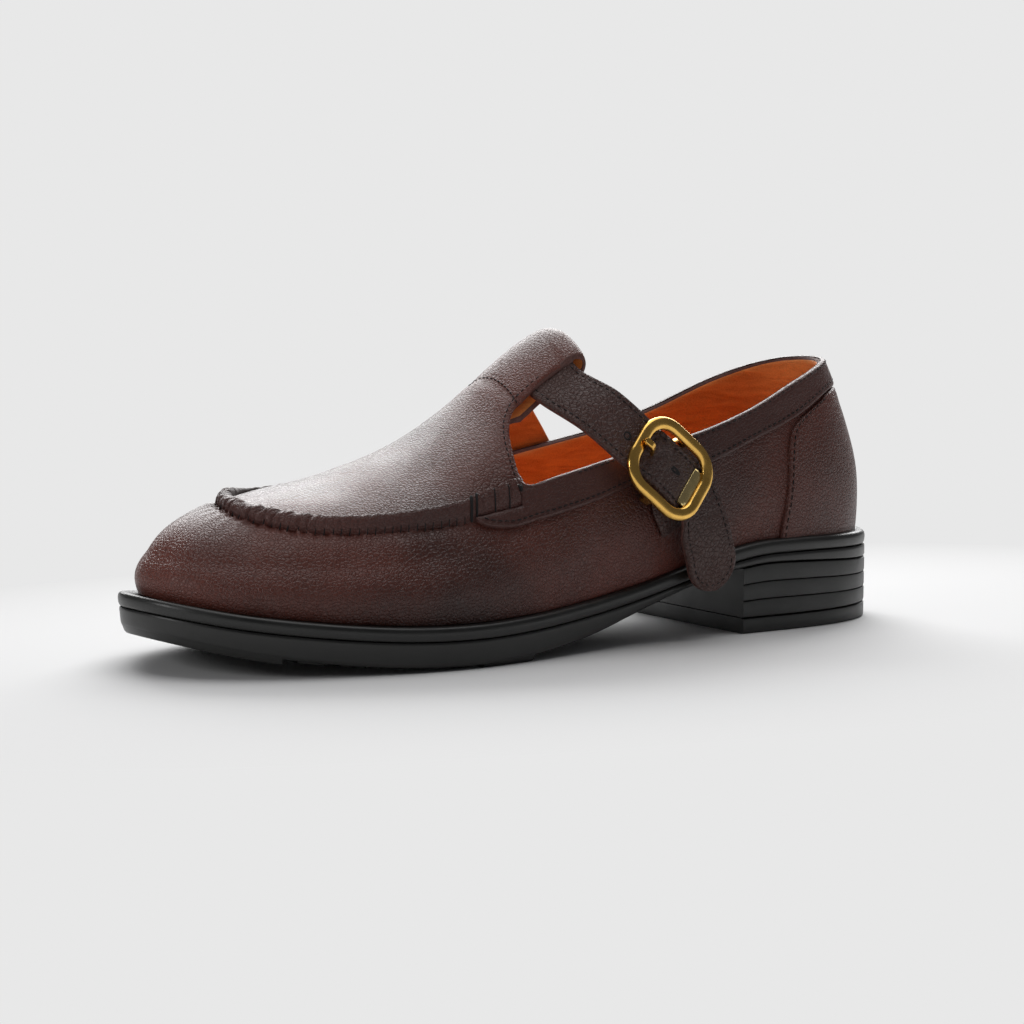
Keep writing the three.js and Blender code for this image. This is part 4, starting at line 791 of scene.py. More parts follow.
# The upper
def arc_along(line, x, s):
    """Distance from a plan line and arc position on it, for each point."""
    far = np.concatenate([[0], np.cumsum(np.linalg.norm(np.diff(line, axis=0), axis=1))])
    best = np.full(len(x), np.inf)
    arc = np.zeros(len(x))
    for i in range(0, len(line)):
        d = np.hypot(x - line[i, 0], s - line[i, 1])
        near = d < best
        best = np.where(near, d, best)
        arc = np.where(near, far[i], arc)
    return best, arc


def make_upper():
    net = Net(270, 46)
    net.split(opened)
    net.split(lambda p: opened(p) - 0.5, keep_all=True)
    net.split(lambda p: opened(p) - 1.3, keep_all=True)
    net.tidy()
    skin = net.at()
    n = mesh_normals(skin, net.tris)
    edge = opened(skin)
    apron = inside_by(OUTER_LINE, skin[:, 0], skin[:, 1])
    near, arc = arc_along(OUTER_LINE, skin[:, 0], skin[:, 1])
    total = length_of(OUTER_LINE)
    ahead = step_up(skin[:, 1], 0.76 * LENGTH, 0.86 * LENGTH)
    lift = 0.22 * wave(skin, 26.0) + 0.08 * wave(skin, 9.0, 2.0)
    outside = apron < 0
    lift -= np.where(outside, 0.7 * np.exp(-((near - 0.5) / 1.4) ** 2), 0)
    gathers = np.cos(2 * math.pi * arc / (total / 60)) * np.exp(-near / 3.5)
    lift += np.where(outside, (0.12 + 0.22 * ahead) * gathers, 0)
    lift -= 0.45 * np.exp(-((skin[:, 1] - SEAM * LENGTH) / 1.1) ** 2) * (np.abs(skin[:, 0]
                                                                                - STEM_SHIFT) < 16)
    round_off = np.where(edge < 1.3, 0.55 * (1 - np.clip(edge / 1.3, 0, 1)) ** 2, 0)
    top = skin + n * (lift - round_off)[:, None]
    inner = net.at(-WALL)
    inner_n = mesh_normals(inner, net.tris)
    folds = 0.3 * wave(inner * [1, 1, 2.2], 13.0, 4.0) * step_up(inner[:, 1], 80, 120)
    inner = inner + inner_n * (np.where(edge < 1.3, 0.4 * (1 - np.clip(edge / 1.3, 0, 1)) ** 2, 0) + folds
                               * 0.6 - 0.15)[:, None]
    points, faces, kinds = net.shell(top, inner)
    loop_points, loop_faces, loop_kinds = make_loop()
    base = len(points)
    return add_mesh("upper_shell", np.concatenate([points, loop_points]),
                    faces + [tuple(i + base for i in f) for f in loop_faces],
                    [LEATHER, LINING, EDGE], kinds + loop_kinds, "upper", 50)


def over_loop(x, s, h):
    """Over the last at the stem's loop, whose outer ends are pulled up by the strap."""
    share = (x - STEM_SHIFT) / (STEM_W / 2)
    back = np.clip((SEAM - s / LENGTH) / (SEAM - FOLD), 0, 1)
    points = over_plan(x, s, h)[0]
    points[:, 2] += LOOP_LIFT * np.minimum(share * share, 1.4) * back
    return points


def make_loop():
    depth = 2 * LOOP_WALL + CAVITY
    turn = np.linspace(0, math.pi, 25)
    a = 5.2
    start = BACK_S + 1.0

    def path(out, lead):
        bend = np.stack([start - (a - out) * np.sin(turn), -depth / 2 + (depth / 2 - out) * np.cos(turn)], 1)
        head = np.array([[start + 3 * lead, -out - 0.6], [start + 1.6 * lead, -out + 0.12]])
        under = np.linspace(start, SEAM * LENGTH, 12)[1:-1]
        flat = np.stack([under, np.full(len(under), -depth + out)], 1)
        tail = np.array([[SEAM * LENGTH + 1.0, -depth * 0.8 + out * 0.8],
                         [ROOT * LENGTH - 1.5, -WALL - 1.6 + out * 0.8]])
        return np.concatenate([head, bend, flat, tail])

    outer, inner = path(0.0, 1.5), path(LOOP_WALL, 1.5)
    section = np.concatenate([outer, inner[::-1]])
    count = len(section)
    xs = np.concatenate([[-0.5, -0.485], np.linspace(-0.46, 0.46, 19), [0.485, 0.5]])
    rings = []
    middle = (section + section[(2 * len(outer) - 1 - np.arange(count)) % count]) / 2
    for x in xs:
        soft = 1 - 0.28 * step_up(abs(x), 0.475, 0.5)
        ring = middle + (section - middle) * soft
        place_x = np.full(count, STEM_SHIFT + x * STEM_W)
        rings.append(over_loop(place_x, ring[:, 0], ring[:, 1]))
    points, faces = loft(np.array(rings))
    points = points + 0.12 * wave(points, 8.0, 1.0)[:, None] * [0, 0, 1]
    half = len(outer)
    kinds = []
    for f in faces:
        if len(f) > 4:
            kinds.append(2)
            continue
        k, row = f[0] % count, f[0] // count
        kinds.append(2 if row == 0 or row == len(xs) - 2 else (0 if k < half - 1 else 1))
    return points, faces, kinds


def surface_strip(plan_outer, plan_inner, section, heights):
    """Rows of points over the last between two plan lines."""
    rows = []
    for v, h in zip(section, heights):
        p = plan_outer + v[:, None] * (plan_inner - plan_outer)
        rows.append(over_plan(p[:, 0], p[:, 1], h)[0])
    return np.array(rows)


def make_seam():
    count = 860
    outer = seam_line(SEAM_OUTER, 0, count)
    inner = even(seam_line(SEAM_INNER, 0, 400), count)
    arc = np.linspace(0, 1, count) * length_of(outer)
    total = arc[-1]
    s = outer[:, 1]
    toe = step_up(s, 0.8 * LENGTH, 0.87 * LENGTH)
    rear = step_up(-s, -0.645 * LENGTH, -0.64 * LENGTH)
    pitch = total / SEAM_PINCHES
    pinch = (0.5 + 0.5 * np.cos(2 * math.pi * arc / pitch)) ** 4
    uneven = 0.5 + 0.5 * wave(np.stack([arc, s * 0, s * 0], 1), 7.0, 3.0)
    rough = wave(np.stack([outer[:, 0], outer[:, 1], arc * 0], 1), 3.6, 3.0)
    fold = (0.5 + 0.5 * np.cos(2 * math.pi * arc / 5.1 + 0.6)) ** 3
    end = np.minimum(arc, total - arc)
    closing = np.sqrt(np.clip(1 - (1 - np.clip(end / 2.2, 0, 1)) ** 2, 0.02, 1))
    high = SEAM_H * (1.4 + 0.06 * rough - 0.12 * toe + 0.25 * rear) * closing
    high *= 1 - (0.03 + 0.2 * toe) * pinch * uneven * (1 - rear) - 0.3 * fold * rear
    views = np.linspace(-0.06, 1.02, 17)
    section, heights = [], []
    for v in views:
        u = np.clip((v + 0.06) / 1.08, 0, 1)
        form = np.clip(1 - np.abs(2 * u - 1) ** 2.6, 0, 1) ** 0.5
        low = np.clip(1 - u / 0.45, 0, 1)
        tuck = (0.06 + 0.3 * toe) * pinch * uneven * low * (1 - rear)
        section.append(v + (0.13 + 0.1 * toe) * pinch * uneven * (1 - u) ** 4 * (1 - rear) + 0.05 * toe
                       * rough * (1 - u))
        creased = 0.22 * toe * rough * form + 0.12 * toe * np.sin(9 * u + 5 * rough) * form
        heights.append(np.clip(high * form * (1 - tuck), 0, None) - 0.25 * (form < 0.05) + creased)
    section += [np.full(count, 0.9), np.full(count, 0.1)]
    heights += [np.full(count, -0.5), np.full(count, -0.5)]
    rings = surface_strip(outer, inner, section, heights).transpose(1, 0, 2)
    points, faces = loft(rings)
    # The lip's inner face toward the apron and the seam's ends take the dark material: painted shade in the
    # gap between lip and apron
    kinds = [1 if len(f) > 4 or 12 <= f[0] % 19 <= 16 else 0 for f in faces]
    add_mesh("apron_seam", points, faces, [PINCHED, SEAM_SHADE_AND_UNDERSIDE], kinds, "moc_seam")
    parts = []
    for k in range(1, SEAM_PINCHES):
        at = np.argmin(np.abs(arc - k * pitch))
        if rear[at] > 0.5:
            continue
        low, mid = rings[at, 0], rings[at, 2]
        out = unit(rings[at, 0] - rings[at, 8])
        line = np.array([low + out * 0.7, low + out * 0.4 + [0, 0, 0.15], low + out * 0.12 + [0, 0, 0.2],
                         (low + mid) / 2])
        parts.append(tube(smooth_line(line, 7), 0.17 + 0.05 * toe[at]))
    for side in (0, 1):
        for dist, size in ((18.4, 0.5), (16.6, 0.4), (9.8, 0.26), (4.6, 0.26)):
            at = np.argmin(np.abs(arc - (dist if side == 0 else total - dist)))
            ring = rings[at, :17]
            n = unit(ring[8] - (ring[0] + ring[16]) / 2)
            parts.append(tube(even(smooth_line(ring + n * 0.1, 30), 24), size))
    for at in (2, count - 3):
        ring = rings[at, :17]
        base = ring.mean(axis=0)
        knot = [base + [1.1 * math.cos(a) * math.cos(3 * a), 1.1 * math.sin(a) * 0.8,
                        0.8 + 0.7 * math.sin(3 * a)]
                for a in np.linspace(0, 2 * math.pi, 40)]
        parts.append(tube(np.array(knot), 0.55))
    points, faces = join(parts)
    add_mesh("seam_thread", points, faces, [THREAD_AND_HOLE_SHADE])


def edge_profile(distance, radius):
    u = np.clip(distance / radius, 0, 1)
    return np.sqrt(np.clip(1 - (1 - u) ** 2, 0, 1))


def make_overlay(name, region, thickness, materials, node_name, levels=(0.3, 0.9, 1.5, 2.1),
                 ditch=0.12, seed=0.0):
    net = Net(420, 84)
    net.split(region)
    for value in levels:
        net.split(lambda p, value=value: region(p) - value, keep_all=True)
    net.tidy()
    skin = net.at()
    n = mesh_normals(skin, net.tris)
    d = region(skin)
    high = 0.12 + thickness * edge_profile(d, 0.75) + 0.1 * wave(skin, 14.0, seed)
    high -= ditch * np.exp(-((d - 1.5) / 0.35) ** 2)
    points, faces, kinds = net.shell(skin + n * high[:, None], skin + n * 0.04)
    return add_mesh(name, points, faces, materials, kinds, node_name, 60)


def band_region(p):
    return np.minimum(banded(p), -inside_by(OUTER_LINE, p[:, 0], p[:, 1]) + 0.4)


def counter_region(p):
    lower = LOWER_LINE[LOWER_LINE[:, 0] < EDGE_LINE[0, 0]] - [0, GAP]
    region = np.concatenate([[[lower[0, 0], 0]], lower, EDGE_LINE, [[EDGE_LINE[-1, 0], 0]]])
    return inside_by(region, p[:, 1], level(p))


def line_on_last(line, h, side=0, start=0.0, stop=1.0, count=900):
    """A traced side line round the back: side 0 goes from the inner front to the outer front."""
    reach = np.linspace(-1, 1, count) if side == 0 else side * np.linspace(start, stop, count)
    phi = reach * math.acos(1 - 2 * 0.64)
    theta = trace(line, phi)
    p = last(phi, theta, h)
    keep = (p[:, 1] < line[-1, 0] - 0.5)
    return p[keep], normal_at(phi, theta)[keep]


def make_upper_stitches():
    parts = []
    line, n = line_on_last(shifted(LOWER_LINE, 1.5), BAND_FACE - 0.02)
    parts += stitches(line, n, 2.3, 1.5, 0.17)
    line, n = line_on_last(shifted(COLLAR_LINE[:-14], -1.5), BAND_FACE - 0.02)
    parts += stitches(line, n, 2.3, 1.5, 0.17)
    for side in (1, -1):
        z = HEEL_Z + np.linspace(-0.05, 0.765, 80) * BACK_RISE
        s = np.interp(z, EDGE_LINE[::-1, 1], EDGE_LINE[::-1, 0]) - 1.6
        real = z + (side * 31.0 - 31.68) * SINK
        line, n = over_side(side, s, real, GAP + COUNTER_T - 0.05)
        parts += stitches(line, n, 2.4, 1.5, 0.17)
    for side, edge in ((1, STEM_RIGHT), (-1, STEM_LEFT)):
        keep = edge[(np.abs(edge[:, 0] - STEM_SHIFT) < 1.1 * STEM_W)]
        keep = np.concatenate([keep, [[keep[-1, 0], FOLD * LENGTH + 12.0]]])
        run = unit(np.gradient(keep, axis=0))
        inside = np.stack([-run[:, 1], run[:, 0]], axis=1) * (1.7 * (1 if side < 0 else -1))
        line, n = over_plan(*(even(smooth_line(keep + inside, 200), 200)).T, 0.0)
        parts += stitches(line, n, 2.2, 1.4, 0.17)
    x = np.linspace(-0.5, 0.5, 30) * STEM_W * 1.06 + STEM_SHIFT
    line, n = over_plan(x, SEAM * LENGTH - 0.8 * np.cos((x - STEM_SHIFT) / STEM_W * math.pi), 0.0)
    parts += stitches(line, n, 2.0, 1.35, 0.18, sink=0.4)
    points, faces = join(parts)
    add_mesh("upper_stitches", points, faces, [THREAD_AND_HOLE_SHADE])


make_upper()
make_seam()
make_overlay("collar_fold", band_region, BAND_T, [SMOOTH, SEAM_SHADE_AND_UNDERSIDE, EDGE], "collar_band",
             seed=1.0)
make_overlay("heel_counter", counter_region, COUNTER_T, [LEATHER, SEAM_SHADE_AND_UNDERSIDE, EDGE], "counter",
             seed=2.0)
make_upper_stitches()


# The sole
AROUND = np.linspace(0, 2 * math.pi, 361)[:-1]


def foot_ring(grow, height, phi=AROUND):
    s0 = outline_at(phi)[1]
    x, s = sole_edge(phi, grow(s0) if callable(grow) else grow)
    return np.stack([x, s, height(s)], axis=1)


def make_welt():
    profile = [(-WELT_W, -WELT_T), (-4, -WELT_T), (-1.3, -WELT_T), (-0.75, -WELT_T + 0.05),
               (-0.42, -WELT_T + 0.3),
               (-0.18, -WELT_T + 0.8), (0.0, -2.4), (-0.02, -1.7), (-0.2, -1.0), (-0.6, -0.42), (-1.2, -0.1),
               (-2.0, 0.0), (-3.0, -0.05), (-4.2, -0.2), (-5.4, -0.2), (-WELT_W, -0.02)]
    rings = np.array([foot_ring(g, lambda s, u=u: sole_top(s) + u) for g, u in profile])
    points, faces = loft(rings, closed_along=True)
    add_mesh("welt_bead", points, faces, [RUBBER], None, "welt")


def heel_ring(grow, height, steps=70):
    corner = math.acos(1 - 2 * HEEL_LENGTH / LENGTH)
    phi = corner * np.sin(np.linspace(-1, 1, 2 * steps + 1) * math.pi / 2)
    x, s = sole_edge(phi, grow)
    s = np.minimum(s, HEEL_LENGTH)
    s[0] = s[-1] = HEEL_LENGTH
    breast = np.linspace(x[-1], x[0], 30)[1:-1]
    x = np.concatenate([x, breast])
    s = np.concatenate([s, np.full(len(breast), HEEL_LENGTH)])
    return np.stack([x, s, height(s)], axis=1)


def make_heel():
    low = TOP_T + GAP
    joint = 0.45

    def level_at(share, shift=0.0):
        return lambda s: low + share * (sole_under(s) - GAP - low) + shift
    rings = []
    for i in range(3):
        for grow, shift in ((-GROOVE, 0.02), (-0.5, 0.04), (-0.12, joint * 0.5), (0, joint + 0.25)):
            rings.append(heel_ring(grow, level_at(i / 3, shift)))
        for grow, shift in ((0, -joint - 0.25), (-0.12, -joint * 0.5), (-0.5, -0.04), (-GROOVE, -0.02)):
            rings.append(heel_ring(grow, level_at((i + 1) / 3, shift)))
    points, faces = loft(np.array(rings))
    add_mesh("heel_stack", points, faces, [HEEL_RUBBER], None, "heel", 42)
    rings = [heel_ring(g, lambda s, z=z: z + 0 * s) for g, z in (
        (-6, 0.0), (-1.0, 0.0), (-0.35, 0.15), (0, 0.7), (0, TOP_T - 0.6), (-0.12, TOP_T - 0.2),
        (-0.6, TOP_T), (-3, TOP_T))]
    points, faces = loft(np.array(rings))
    add_mesh("heel_top_piece", points, faces, [HEEL_RUBBER], None, "top_piece", 42)


def make_outsole():
    step = lambda s: sole_top(s) - WELT_T - GAP
    under = lambda s: sole_under(s)
    seat = lambda s: step_up(-s, -1.25 * HEEL_LENGTH, -0.95 * HEEL_LENGTH)

    def rim(fore, heel, height):
        return foot_ring(lambda s: fore + (heel - fore) * seat(s), height)
    rings = np.array([
        rim(-2.6, -0.9, under), rim(-1.7, -0.35, lambda s: under(s) + 0.12),
        rim(-1.1, -0.12, lambda s: under(s) + 0.6 - 0.3 * seat(s)),
        rim(-0.85, 0.0, lambda s: under(s) + 1.3 - 0.6 * seat(s)),
        rim(-0.45, 0.0, lambda s: step(s) - 0.9), rim(-0.45, -0.05, lambda s: step(s) - 0.3),
        rim(-0.7, -0.3, lambda s: step(s) + 0.05), rim(-1.5, -0.9, lambda s: step(s) + 0.1),
        foot_ring(-WELT_W - GAP, step), foot_ring(-WELT_W - GAP, sole_top)])
    parts = [loft(rings)]
    inset, width, channel = 1.4, 9.0, 3.2
    for side in (1, -1):
        for a, b in ((0.885, 1.0), (0.575, 0.65)):
            phi_a, phi_b = (math.acos(1 - 2 * v) for v in (a, b))
            phi = side * np.linspace(phi_a, phi_b, 60 if b == 1.0 else 16)
            bottom = lambda s: np.maximum(under(s) - LUG, 0.0)
            rows = [foot_ring(g, z, phi) for g, z in (
                (-inset + 0.2, lambda s: under(s) + 0.5), (-inset - 0.5, lambda s: bottom(s) + 0.5),
                (-inset - 1.1, bottom), (-inset - width + 1.0, bottom),
                (-inset - width, lambda s: under(s) + 0.5))]
            section = np.array(rows).transpose(1, 0, 2)[::1 if side > 0 else -1]
            parts.append(loft(section[:, ::-1]))
    pitch = width + channel
    reach = inset + width + channel
    foot = foot_ring(-reach - 0.8, under, np.linspace(0, math.pi, 400))
    foot_in = foot_ring(-reach - 0.8, under, np.linspace(0, -math.pi, 400))
    for i in range(int((0.95 - 0.49) * LENGTH / pitch)):
        start = 0.49 * LENGTH + i * pitch
        rows = []
        for ds, rise in ((0.0, 0.6), (0.7, -0.01), (width - 0.7, -0.01), (width, 0.6)):
            s = start + ds
            if s > foot[:, 1].max() - 1.0:
                continue
            lateral = np.interp(s, foot[:, 1], foot[:, 0])
            medial = np.interp(s, foot_in[:, 1], foot_in[:, 0])
            x = np.linspace(medial, lateral, 24)
            line = np.full(24, s)
            z = np.where(rise > 0, under(line) + 0.5, np.maximum(under(line) - LUG, 0.0))
            rows.append(np.stack([x, line, z], axis=1))
        if len(rows) == 4:
            parts.append(loft(np.array(rows).transpose(1, 0, 2)[:, ::-1]))
    points, faces = join(parts)
    add_mesh("outsole_rubber", points, faces, [RUBBER], None, "outsole", 42)


def make_footbed():
    grow = lambda s: -ledge(s) - WALL - 2 * GAP
    low = lambda s: sole_top(s) + GAP
    rise = lambda s, k: sole_top(s) + GAP + 3.0 * k
    rings = [foot_ring(grow, low), foot_ring(grow, lambda s: rise(s, 0.75)),
             foot_ring(lambda s: grow(s) - 0.5, lambda s: rise(s, 0.97))]
    edge = foot_ring(lambda s: grow(s) - 1.2, lambda s: rise(s, 1.0))
    rings.append(edge)
    middle = np.stack([0.03 * BALL * np.ones(len(AROUND)), np.clip(edge[:, 1], 30, LENGTH - 40),
                       edge[:, 2]], axis=1)
    for k in (0.25, 0.5, 0.75, 0.97):
        ring = edge + (middle - edge) * k
        dish = -0.5 * np.sin(k * math.pi / 2)
        ring[:, 2] = rise(ring[:, 1], 1.0) + dish
        rings.append(ring)
    points, faces = loft(np.array(rings))
    add_mesh("footbed", points, faces, [LINING], None, "insole", 50)


# Buckle and strap
ON_BAND = BAND_FACE + 2 * GAP + STRAP_T / 2
OVER_BAR = BAND_FACE + 4 * GAP + MID_T + CHAPE_T + STRAP_T / 2


def buckle_frame():
    p, n = over_side(1, [BUCKLE_AT[0] * LENGTH], HEEL_Z + BUCKLE_AT[1] * INSTEP, 0.0)
    run = np.array(BUCKLE_RUN)
    run = unit(run - n[0] * (run @ n[0]))
    return p[0] + n[0] * OVER_BAR, run, np.cross(run, n[0]), n[0]


CENTRE, RUN, ACROSS, OUT = buckle_frame()
DIP = WAVE[0][1] * BAR_T
RING_LEVEL = DIP + STRAP_T / 2 + GAP + BAR_T / 2
BAR_LEVEL = BAND_FACE + GAP + MID_T / 2 - OVER_BAR


def at_buckle(u, v, n):
    u, v, n = (np.asarray(a, float)[..., None] for a in np.broadcast_arrays(u, v, n))
    return CENTRE + RUN * u + ACROSS * v + OUT * n


def strap_controls():
    half = STRAP_W / 2
    inner = []
    for along, rise, lift in INNER_SPAN:
        d = np.array([half, -half])
        p, _ = over_side(-1, along * LENGTH + d * math.cos(TILT),
                         HEEL_Z + rise * INSTEP - d * math.sin(TILT), lift * ON_BAND)
        inner.append(((p[0] + p[1]) / 2, unit(p[1] - p[0]), half))
    inner = inner[::-1]
    loop = []
    for i in range(9):
        share = (i / 4 - 1) * OVERRUN
        x = STEM_SHIFT + share * STEM_W / 2
        s = (CROSSING - SKEW * share - LEAN * share * share) * LENGTH
        d = np.array([half * 0.8, -half * 0.8])
        p = over_loop(np.full(2, x), s + d, -LOOP_WALL - SLACK * 0.45 - STRAP_T / 2)
        loop.append(((p[0] + p[1]) / 2, unit(p[1] - p[0]), half))
    through = [(at_buckle(a * BUCKLE_L / 2, 0, h * BAR_T), ACROSS,
                half - NARROW * math.cos(a * math.pi / 2)) for a, h in WAVE]

    def bridge(a, b, bow):
        across = unit(a[1] + b[1])
        run = unit(b[0] - a[0])
        return (a[0] + b[0]) / 2 + np.cross(across, run) * bow, across, half
    hang = [(through[-1][0] + np.array([o, -b, -d]) * TAIL, unit([0, -d, b]), half) for o, b, d in HANG]
    return [*inner, bridge(inner[-1], loop[0], BOW_INNER), *loop, bridge(loop[-1], through[0], BOW_OUTER),
            *through, *hang]


def strap_rows(count):
    controls = strap_controls()
    points = np.array([c[0] for c in controls])
    line = smooth_line(points, count)
    k = np.array([np.argmin(np.linalg.norm(line - p, axis=1)) for p in points], float)
    k[0], k[-1] = 0, count - 1
    i = np.arange(count)
    across = unit(np.stack([np.interp(i, k, [c[1][j] for c in controls]) for j in range(3)], axis=1))
    half = np.interp(i, k, [c[2] for c in controls])
    run = unit(np.gradient(line, axis=0))
    normal = unit(np.cross(across, run))
    return line, across, normal, run, half


def band_rings(line, across, normal, half, thickness, columns=40, lift=None, round_edge=0.7):
    """Rings of a strap's section: rounded edges, top with its lift, bottom flat."""
    v = np.linspace(-1, 1, columns)
    t = thickness / 2
    rings = []
    for i in range(len(line)):
        w = half[i]
        y = v * w
        edge = np.minimum(1.0, np.maximum(w, 0.01) / 1.5) * round_edge
        shape = edge_profile(w - np.abs(y), max(edge, 1e-3))
        top = t * (0.25 + 0.75 * shape)
        if lift is not None:
            top = top + lift[i] * shape
        bottom = -t * (0.25 + 0.75 * shape)
        up = line[i] + across[i] * y[:, None] + normal[i] * top[:, None]
        down = line[i] + across[i] * y[::-1, None] + normal[i] * bottom[::-1, None]
        rings.append(np.concatenate([up, down]))
    return np.array(rings)


def make_strap():
    count = 420
    line, across, normal, run, half = strap_rows(count)
    radius = STRAP_W / 2
    total = length_of(line)
    to_end = total * (1 - np.arange(count) / (count - 1))
    tip = np.clip(to_end / radius, 0.0, 1)
    half = np.where(to_end < radius, radius * np.sqrt(np.clip(1 - (1 - tip) ** 2, 0.0004, 1)), half)
    rel = line - CENTRE
    u = rel @ RUN
    through = (np.abs(u) < BUCKLE_L / 2) & (np.abs(rel @ OUT) < 8) & (np.abs(rel @ ACROSS) < 6)
    columns = 44
    v = np.linspace(-1, 1, columns)
    uu, vv = np.meshgrid(u, v * STRAP_W / 2, indexing="ij")
    flow = np.stack([uu, vv, 0 * uu], axis=2)
    window = np.where(through[:, None], 1.0, 0.0)
    upper_half = step_up(-uu, -1.5, 4.0) * step_up(uu, -11.5, -9.0)
    creased = 0.32 * wave(flow * [1, 0.55, 1], 3.1, 1.0) + 0.25 * wave(flow * [1, 0.8, 1], 1.7,
                                                                       5.0) + 0.4 * np.cos(vv / 9.0 * 1.6)
    lift = window * upper_half * creased
    lift += 0.07 * wave(np.broadcast_to(line[:, None, :], flow.shape) + across[:, None] * vv[..., None],
                        9.0, 2.0)
    inner_line = np.abs(np.abs(v * STRAP_W / 2) - (STRAP_W / 2 - 2.0))
    lift -= 0.14 * np.exp(-(inner_line / 0.45) ** 2)[None]
    sag = 0.35 * (1 - (vv / 9.25) ** 2) * step_up(np.abs(uu), BUCKLE_L / 2, BUCKLE_L / 2 + 12)
    lift += np.where(to_end[:, None] > radius, sag * 0.5, 0)
    rings = band_rings(line, across, normal, half, STRAP_T, columns, lift, 0.8)
    points, faces = loft(rings[:, ::-1])
    m = rings.shape[1]
    kinds = []
    for f in faces:
        if len(f) > 4:
            kinds.append(2)
            continue
        k = m - 1 - f[0] % m
        kinds.append(0 if 1 <= k < columns - 1 else (2 if k in (0, columns - 1, columns, m - 1) else 1))
    add_mesh("strap_leather", points, faces, [STRAPPY, LINING, EDGE], kinds, "strap", 60)
    parts = []
    face = STRAP_T / 2 - 0.02
    free = to_end > radius
    for side in (1, -1):
        keep = free & (half > 8)
        edge_line = line + across * (side * (half - 2.0))[:, None] + normal * face
        parts += stitches(edge_line[keep], normal[keep], *STRAP_STITCH)
    end = line[-1] - run[-1] * radius
    turn = np.linspace(-math.pi / 2, math.pi / 2, 40)
    arc = end + (radius - 2.0) * (np.sin(turn)[:, None] * across[-1] + np.cos(turn)[:, None]
                                  * run[-1]) + normal[-1] * face
    parts += stitches(arc, np.repeat(normal[-1:], 40, axis=0), *STRAP_STITCH)
    points, faces = join(parts)
    add_mesh("strap_stitches", points, faces, [THREAD_AND_HOLE_SHADE])
    # Painted shade of the punched holes: shallow near-black dishes laid on the strap's top stand for the
    # holes' shaded insides
    painted_hole_shades = []
    for spot, size in (((35, 113.4, 65.6), (1.15, 1.15)), ((38.5, 98.1, 53.9), (0.75, 1.9))):
        k = np.argmin(np.linalg.norm(line + normal * face - spot, axis=1))
        off = (np.array(spot) - line[k]) @ across[k]
        base = line[k] + across[k] * off + normal[k] * (STRAP_T / 2 + 0.06 + (0.25 if size[1] > 2 else 0.0))
        turn = 2 * math.pi * np.arange(24) / 24
        rings = []
        for grow, depth in ((1.25, -0.5), (1.2, 0.02), (1.0, 0.06), (0.7, -0.03), (0.05, -0.12)):
            rings.append(base + normal[k] * depth + (np.cos(turn)[:, None] * across[k] * size[0]
                                                     + np.sin(turn)[:, None] * run[k] * size[1]) * grow)
        painted_hole_shades.append(loft(np.array(rings)[:, ::-1]))
    points, faces = join(painted_hole_shades)
    add_mesh("strap_hole_painted_shade", points, faces, [THREAD_AND_HOLE_SHADE])


def make_chape():
    rows = ((-0.1, 'bar'), (0, 'bar'), (0.12, 'bar'), (0.24, 'slope'), (0.4, 'band'),
            (0.6, 'quarter'), (0.8, 'quarter'), (1, 'quarter'))
    middle = CHAPE_T / 2
    bar = BAND_FACE + GAP + MID_T + GAP + middle
    layers = {'bar': bar,
              'slope': (bar + BAND_FACE + GAP + middle) / 2, 'band': BAND_FACE + GAP + middle,
              'quarter': GAP + middle + 0.3}
    start = at_buckle(0.0, 0.0, -OVER_BAR)
    points, normals = [], []
    for at, layer in rows:
        near = min(max((at - 0.2) * 2.5, 0), 1)
        d = at * CHAPE_L
        target = start + RUN * d * (1 - near) + np.array([0, -CHAPE_RUN[0], -CHAPE_RUN[1]]) * d * near
        p, n = over_side(1, [target[1]], target[2], 0.0)
        points.append(p[0] + n[0] * layers[layer])
        normals.append(n[0])
    line = smooth_line(points, 60)
    k = np.linspace(0, 59, len(points))
    n = unit(np.stack([np.interp(np.arange(60), k, np.array(normals)[:, j]) for j in range(3)], axis=1))
    run = unit(np.gradient(line, axis=0))
    across = unit(np.cross(run, n))
    normal = unit(np.cross(across, run))
    rings = band_rings(line, across, normal, np.full(60, CHAPE_W / 2), CHAPE_T, 20, None, 0.4)
    points, faces = loft(rings[:, ::-1])
    add_mesh("chape_leather", points, faces, [STRAPPY], None, "chape", 60)


